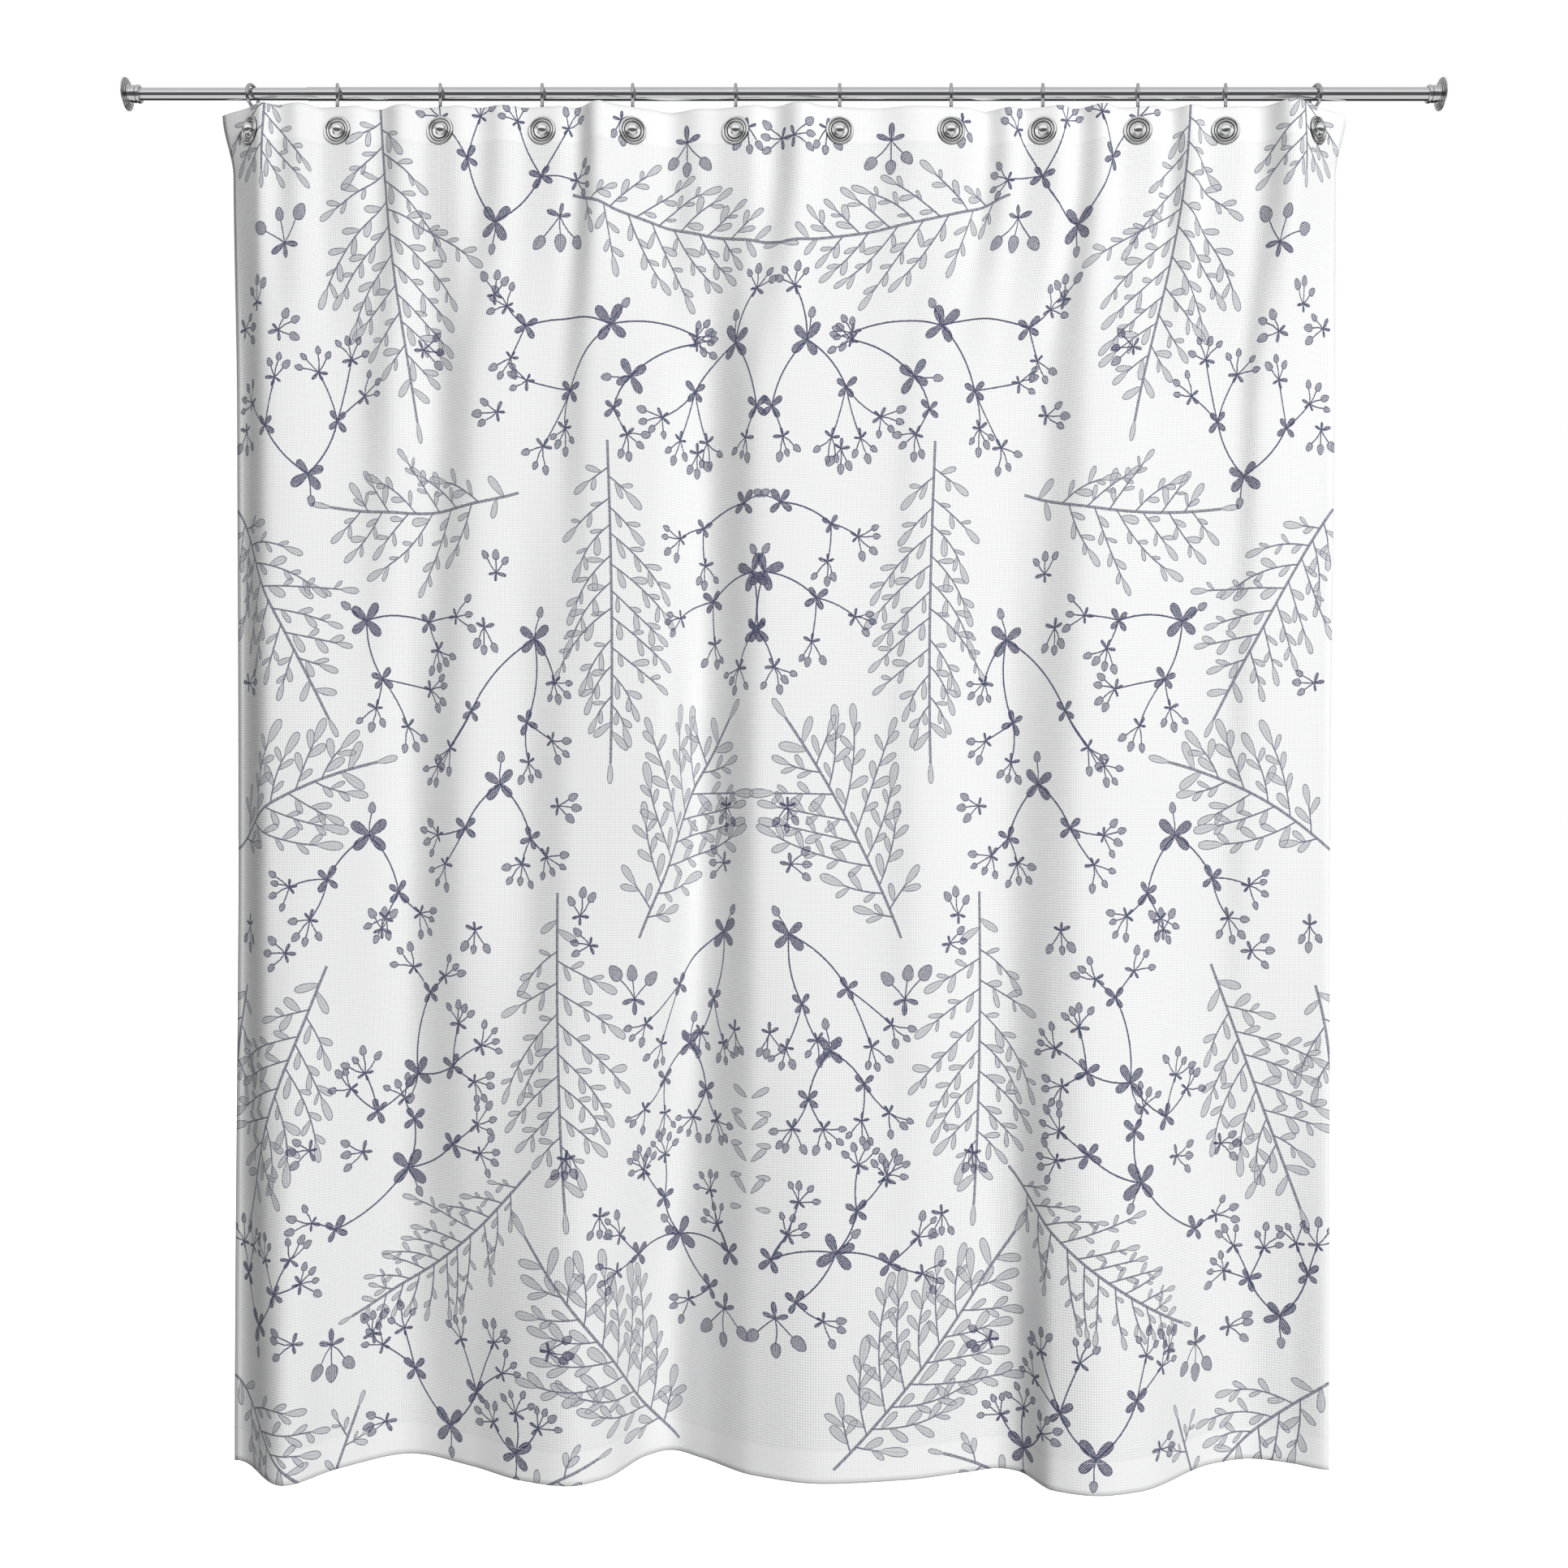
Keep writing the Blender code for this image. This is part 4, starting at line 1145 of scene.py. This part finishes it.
def hooks(wire, bright, crevice_shade):
    stations = zip(hook_places(), grommet_centres(), HOOK_YAWS, GROMMET_YAWS, tilts())
    for number, (place, centre, yaw, grommet_yaw, tilt) in enumerate(stations, 1):
        tag = f"{number:02d}"
        body = "curtain" if number == 1 else "hook_" + tag
        pivot = Matrix.Translation((place, 0, 0)) @ Matrix.Rotation(math.radians(yaw), 4, "Z")
        finial = finial_shape(seat(place, 0.0, yaw, finial_back(tilt)))
        behind = centre - facing(grommet_yaw)[0] * CLOTH_FORWARD
        grommet = grommet_shape(
            seat(*behind, grommet_yaw, GROMMET_SEAT), seat(*behind, grommet_yaw, WASHER_BACK)
        )
        # painted shade on the wire's darkened chrome, painted highlight on the finial's and the
        # grommet's brightened chrome
        hook = merged(hook_wire(yaw, tilt, pivot), finial)
        for kind, shape, shades, nodes, slot in (
            ("ring_hook", hook, [wire, bright], ("hook_wire_", "hook_finial_"), "hook_chrome"),
            (
                "eyelet", grommet, [bright, crevice_shade],
                ("grommet_front_", "grommet_back_"), "grommet_chrome",
            ),
        ):
            obj = add_mesh(f"{kind}_{tag}", *shape, shades, sharp=50)
            settle(obj, body, slot, *(node + tag for node in nodes))


# The curtain


def hang(obj, thick=True, back=0):
    """The cloth is made thick unless asked not to, and moves with the curtain.

    Its back and its rim take the material that is this many after the front's.
    """
    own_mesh(obj)
    if thick:
        layer = obj.modifiers.new("Thickness", "SOLIDIFY")
        layer.thickness = CLOTH_THICK
        layer.offset = 0
        layer.material_offset = back
        layer.material_offset_rim = back
    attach(obj, "curtain")


def near_eyelet(u, v, reach):
    return any(math.dist((u, v), (centre, TOP_MARGIN)) < reach for centre in EYELETS)


def grid_faces(rows, columns, skip=None):
    faces = []
    for row in range(rows):
        for column in range(columns):
            if not (skip and skip(row, column)):
                corner = row * (columns + 1) + column
                below = corner + columns + 1
                faces.append((corner, below, below + 1, corner + 1))
    return faces


def hem_strip(drape, depths, shares, skip=None):
    """A turned-in layer of the cloth, against its back."""
    rows = [drape.lifted(depth, shares, -CLOTH_THICK * 1.05) for depth in depths]
    faces = grid_faces(len(depths) - 1, len(shares) - 1, skip)
    return np.concatenate(rows), faces, [0] * len(faces)


def hems(drape, material):
    """The doubled cloth along the top, the bottom and both sides."""
    shares = np.linspace(0, 1, COLUMNS + 1)
    top = np.linspace(0.0004, HEM_TOP, 13)

    def under_washer(row, column):
        u, v = (column + 0.5) * CELL_WIDE, (row + 0.5) * HEM_TOP / 12
        return near_eyelet(u, v, WASHER_R + 0.0062)

    bottom = np.linspace(CLOTH_DROP - HEM_BOTTOM, CLOTH_DROP - 0.0004, 8)
    sides = np.linspace(HEM_TOP + 0.0005, CLOTH_DROP - HEM_BOTTOM - 0.0005, ROWS)
    turned = np.linspace(0.0003, HEM_SIDE / CLOTH_WIDTH, 4)
    shape = merged(
        hem_strip(drape, top, shares, under_washer),
        hem_strip(drape, bottom, shares),
        hem_strip(drape, sides, turned),
        hem_strip(drape, sides, 1 - turned[::-1]),
    )
    hang(add_mesh("curtain_hems", *shape, [material]))


def stitch(start, end, front, width, height):
    """One stitch: a low ridge of thread between two points on the cloth."""
    way = end - start
    across = np.cross(way, front)
    across *= width / 2 / np.linalg.norm(across)
    ridge = front * height
    inner = way * 0.22
    vertices = [start - across, start + across, end + across, end - across]
    vertices += [start + inner + ridge, end - inner + ridge]
    faces = [(0, 4, 5, 3), (1, 2, 5, 4), (0, 1, 4), (3, 5, 2)]
    return [Vector(v) for v in vertices], faces, [0] * len(faces)


def seams():
    """Where the stitching runs, as flat (across, down) ends of each line."""
    inset = 0.0025
    top, bottom = HEM_TOP - inset, CLOTH_DROP - HEM_BOTTOM + inset
    left, right = HEM_SIDE - inset, CLOTH_WIDTH - HEM_SIDE + inset
    edge = CLOTH_WIDTH - 0.002
    return (
        ((0.002, top), (edge, top)), ((0.002, bottom), (edge, bottom)),
        ((left, top), (left, bottom)), ((right, top), (right, bottom)),
    )


def stitches(drape, thread):
    """Running stitches on the printed face, along the hems."""
    pitch, length, lift = 0.0042, 0.0030, CLOTH_THICK / 2 - 0.0001
    shapes = []
    for (u0, v0), (u1, v1) in seams():
        way_u, way_v = (1, 0) if u1 > u0 else (0, 1)
        for i in range(int(math.hypot(u1 - u0, v1 - v0) / pitch)):
            u, v = u0 + way_u * pitch * i, v0 + way_v * pitch * i
            if near_eyelet(u + length / 2, v, 0.0225):
                continue
            share = np.array([u, u + way_u * length]) / CLOTH_WIDTH
            start = drape.lifted(v, share, lift)[0]
            end = drape.lifted(v + way_v * length, share, lift)[1]
            front = (drape.lifted(v, share, 1.0) - drape.lifted(v, share, 0.0))[0]
            shapes.append(stitch(start, end, front, 0.0007, 0.0005))
    hang(add_mesh("hem_stitches", *merged(*shapes), [thread]), thick=False)


def curtain(drape, front, back):
    """The printed cloth, with a hole in it at each eyelet."""
    depths = np.linspace(0, CLOTH_DROP, ROWS + 1)
    shares = np.linspace(0, 1, COLUMNS + 1)
    vertices = np.concatenate([drape.points(depth, shares) for depth in depths])

    def in_hole(row, column):
        return near_eyelet((column + 0.5) * CELL_WIDE, (row + 0.5) * CELL_HIGH, CLOTH_HOLE_R)

    faces = grid_faces(ROWS, COLUMNS, in_hole)
    obj = add_mesh("curtain_cloth", vertices, faces, None, [front, back])
    mesh = obj.data
    uv = mesh.uv_layers.new(name="flat")
    corners = np.zeros(len(mesh.loops), np.int32)
    mesh.loops.foreach_get("vertex_index", corners)
    rows, columns = np.divmod(corners, COLUMNS + 1)
    flat = np.stack([columns * CELL_WIDE, rows * CELL_HIGH], axis=1)
    uv.data.foreach_set("uv", flat.astype(np.float32).ravel())
    rows, columns = np.divmod(np.array(faces)[:, 0], COLUMNS + 1)
    marks = mark_table()[rows * COLUMNS + columns]
    for slot in range(SLOTS):
        for name, part in (("place", marks[:, slot, :3]), ("size", marks[:, slot, 3:])):
            layer = mesh.attributes.new(f"mark_{name}_{slot}", "FLOAT_VECTOR", "FACE")
            layer.data.foreach_set("vector", part.ravel())
    hang(obj, back=1)
    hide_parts("curtain_panel")


# The stage


def world():
    """White to the eye, soft grey for light, and banded for what the chrome mirrors."""
    made = bpy.data.worlds.new("studio")
    made.use_nodes = True
    bpy.context.scene.world = made
    t = Tree(made.node_tree)
    made.node_tree.nodes.clear()
    x, y, z = t.split(t.node("ShaderNodeTexCoord").outputs["Generated"])
    # the direction's angle about the rod: 0 is level to the front, a quarter is up
    turn = t.math("ARCTAN2", z, t.math("MULTIPLY", y, -1.0))
    turn = t.math("MULTIPLY_ADD", turn, 0.5 / math.pi, 0.5)
    ramp = t.node("ShaderNodeValToRGB", [turn])
    bands = ((-180, 0.42), (-172, 0.40), (-166, 0.03), (-114, 0.03), (-108, 0.72), (-48, 0.78))
    bands += ((-42, 0.10), (10, 0.10), (16, 0.95), (42, 0.90), (50, 0.66), (140, 0.60))
    bands += ((150, 0.45), (180, 0.42))
    stops = ramp.color_ramp.elements
    while len(stops) < len(bands):
        stops.new(0.5)
    for stop, (angle, value) in zip(stops, bands):
        stop.position = (angle + 180) / 360
        stop.color = (value, value, value * 1.01, 1)
    # towards the rod's ends the bands would pinch together, so they run into grey
    aside = t.remap(t.math("ABSOLUTE", x), 0.70, 0.93)
    mirrored = t.mix(aside, ramp.outputs[0], (0.20, 0.20, 0.20, 1))
    path = t.node("ShaderNodeLightPath").outputs
    lit = t.mix(path["Is Glossy Ray"], (0.20, 0.20, 0.203, 1), mirrored)
    seen = t.mix(path["Is Camera Ray"], lit, (1.0, 1.0, 1.0, 1))
    back = t.node("ShaderNodeBackground", [seen, 1.0])
    t.node("ShaderNodeOutputWorld", [back.outputs[0]])


def floor():
    made, t, shader = new_material("studio_floor")
    place = t.node("ShaderNodeTexCoord").outputs["Object"]
    tone = t.noise(place, 2.0, 3.0)
    t.put(shader.inputs["Base Color"], t.mix(tone, (0.93, 0.93, 0.93, 1), (0.95, 0.95, 0.95, 1)))
    shader.inputs["Roughness"].default_value = 0.9
    shader.inputs["Emission Color"].default_value = (1, 1, 1, 1)
    shader.inputs["Emission Strength"].default_value = 1.0
    size, z = 30.0, -2.06
    corners = [(-size, -size, z), (size, -size, z), (size, size, z), (-size, size, z)]
    obj = add_mesh("studio_floor", corners, [(0, 1, 2, 3)], None, [made])
    obj.visible_glossy = False
    obj.visible_diffuse = False


def add_light(name, kind, energy, place, direction, **settings):
    """A light that shines from a direction, and that the chrome doesn't mirror."""
    light = bpy.data.lights.new(name, kind)
    light.energy = energy
    for key, value in settings.items():
        setattr(light, key, value)
    obj = bpy.data.objects.new(name, light)
    obj.location = place
    obj.rotation_euler = Vector(direction).to_track_quat("Z", "Y").to_euler()
    bpy.context.scene.collection.objects.link(obj)
    obj.visible_glossy = False


def lights():
    """A softbox to the right and in front, that dims down the cloth, and two soft fills."""
    place = Vector((ROD_SPAN / 2 + 3.2, -6.1, 0.95))
    aim = Vector((ROD_SPAN / 2, 0.0, -0.75))
    add_light("key", "AREA", 450.0, place, place - aim, shape="DISK", size=2.6)
    front, behind = (-0.3, -0.8, 0.5), (0.75, 0.8, 0.5)
    add_light("fill", "SUN", 0.22, (0, 0, 0), front, angle=math.radians(60))
    add_light("back", "SUN", 2.4, (0, 0, 0), behind, angle=math.radians(40))


def camera():
    """Level and square to the rod, on the middle of the frame."""
    frame_width = 2.158
    distance = 2.2
    lens = bpy.data.cameras.new("camera")
    lens.sensor_width = 36.0
    lens.lens = lens.sensor_width * distance / frame_width
    obj = bpy.data.objects.new("camera", lens)
    obj.location = (ROD_SPAN / 2, -distance, -0.9495)
    obj.rotation_euler = (math.pi / 2, 0, 0)
    bpy.context.scene.collection.objects.link(obj)
    bpy.context.scene.camera = obj


def build():
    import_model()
    chrome = chrome_material("polished_chrome", 0.055, (0.80, 0.80, 0.81))
    # painted shade and highlight: the hook wire takes a darkened copy of the chrome, and the
    # finials and grommets a brightened one
    wire = chrome_material("shaded_wire_chrome", 0.08, (0.60, 0.60, 0.61))
    bright = chrome_material("highlight_chrome", 0.11, (0.97, 0.97, 0.97))
    # painted shade: a near-black chrome for the crevices of the flanges and grommets, where shade
    # falls
    crevice_shade = chrome_material("painted_crevice_shade", 0.30, (0.07, 0.07, 0.07))
    thread = plain_material("white_thread", (0.86, 0.86, 0.86), 0.8, 2500.0)
    hem_cloth = plain_material("hem_cloth", (0.86, 0.86, 0.86), 0.85, 1500.0)
    rubber = plain_material("pad_rubber_grey", (0.50, 0.50, 0.49), 0.75, 700.0)
    nylon = plain_material("lock_nylon_white", (0.80, 0.80, 0.78), 0.45, 500.0)
    group = mark_group()
    rod(chrome, crevice_shade, rubber, nylon)
    hooks(wire, bright, crevice_shade)
    front = cloth_material("printed_cloth", group, 1.0)
    back = cloth_material("cloth_back", group, 0.16)
    drape = Drape()
    curtain(drape, front, back)
    hems(drape, hem_cloth)
    stitches(drape, thread)
    world()
    floor()
    lights()
    camera()
    bpy.context.scene.view_settings.view_transform = "Standard"


build()
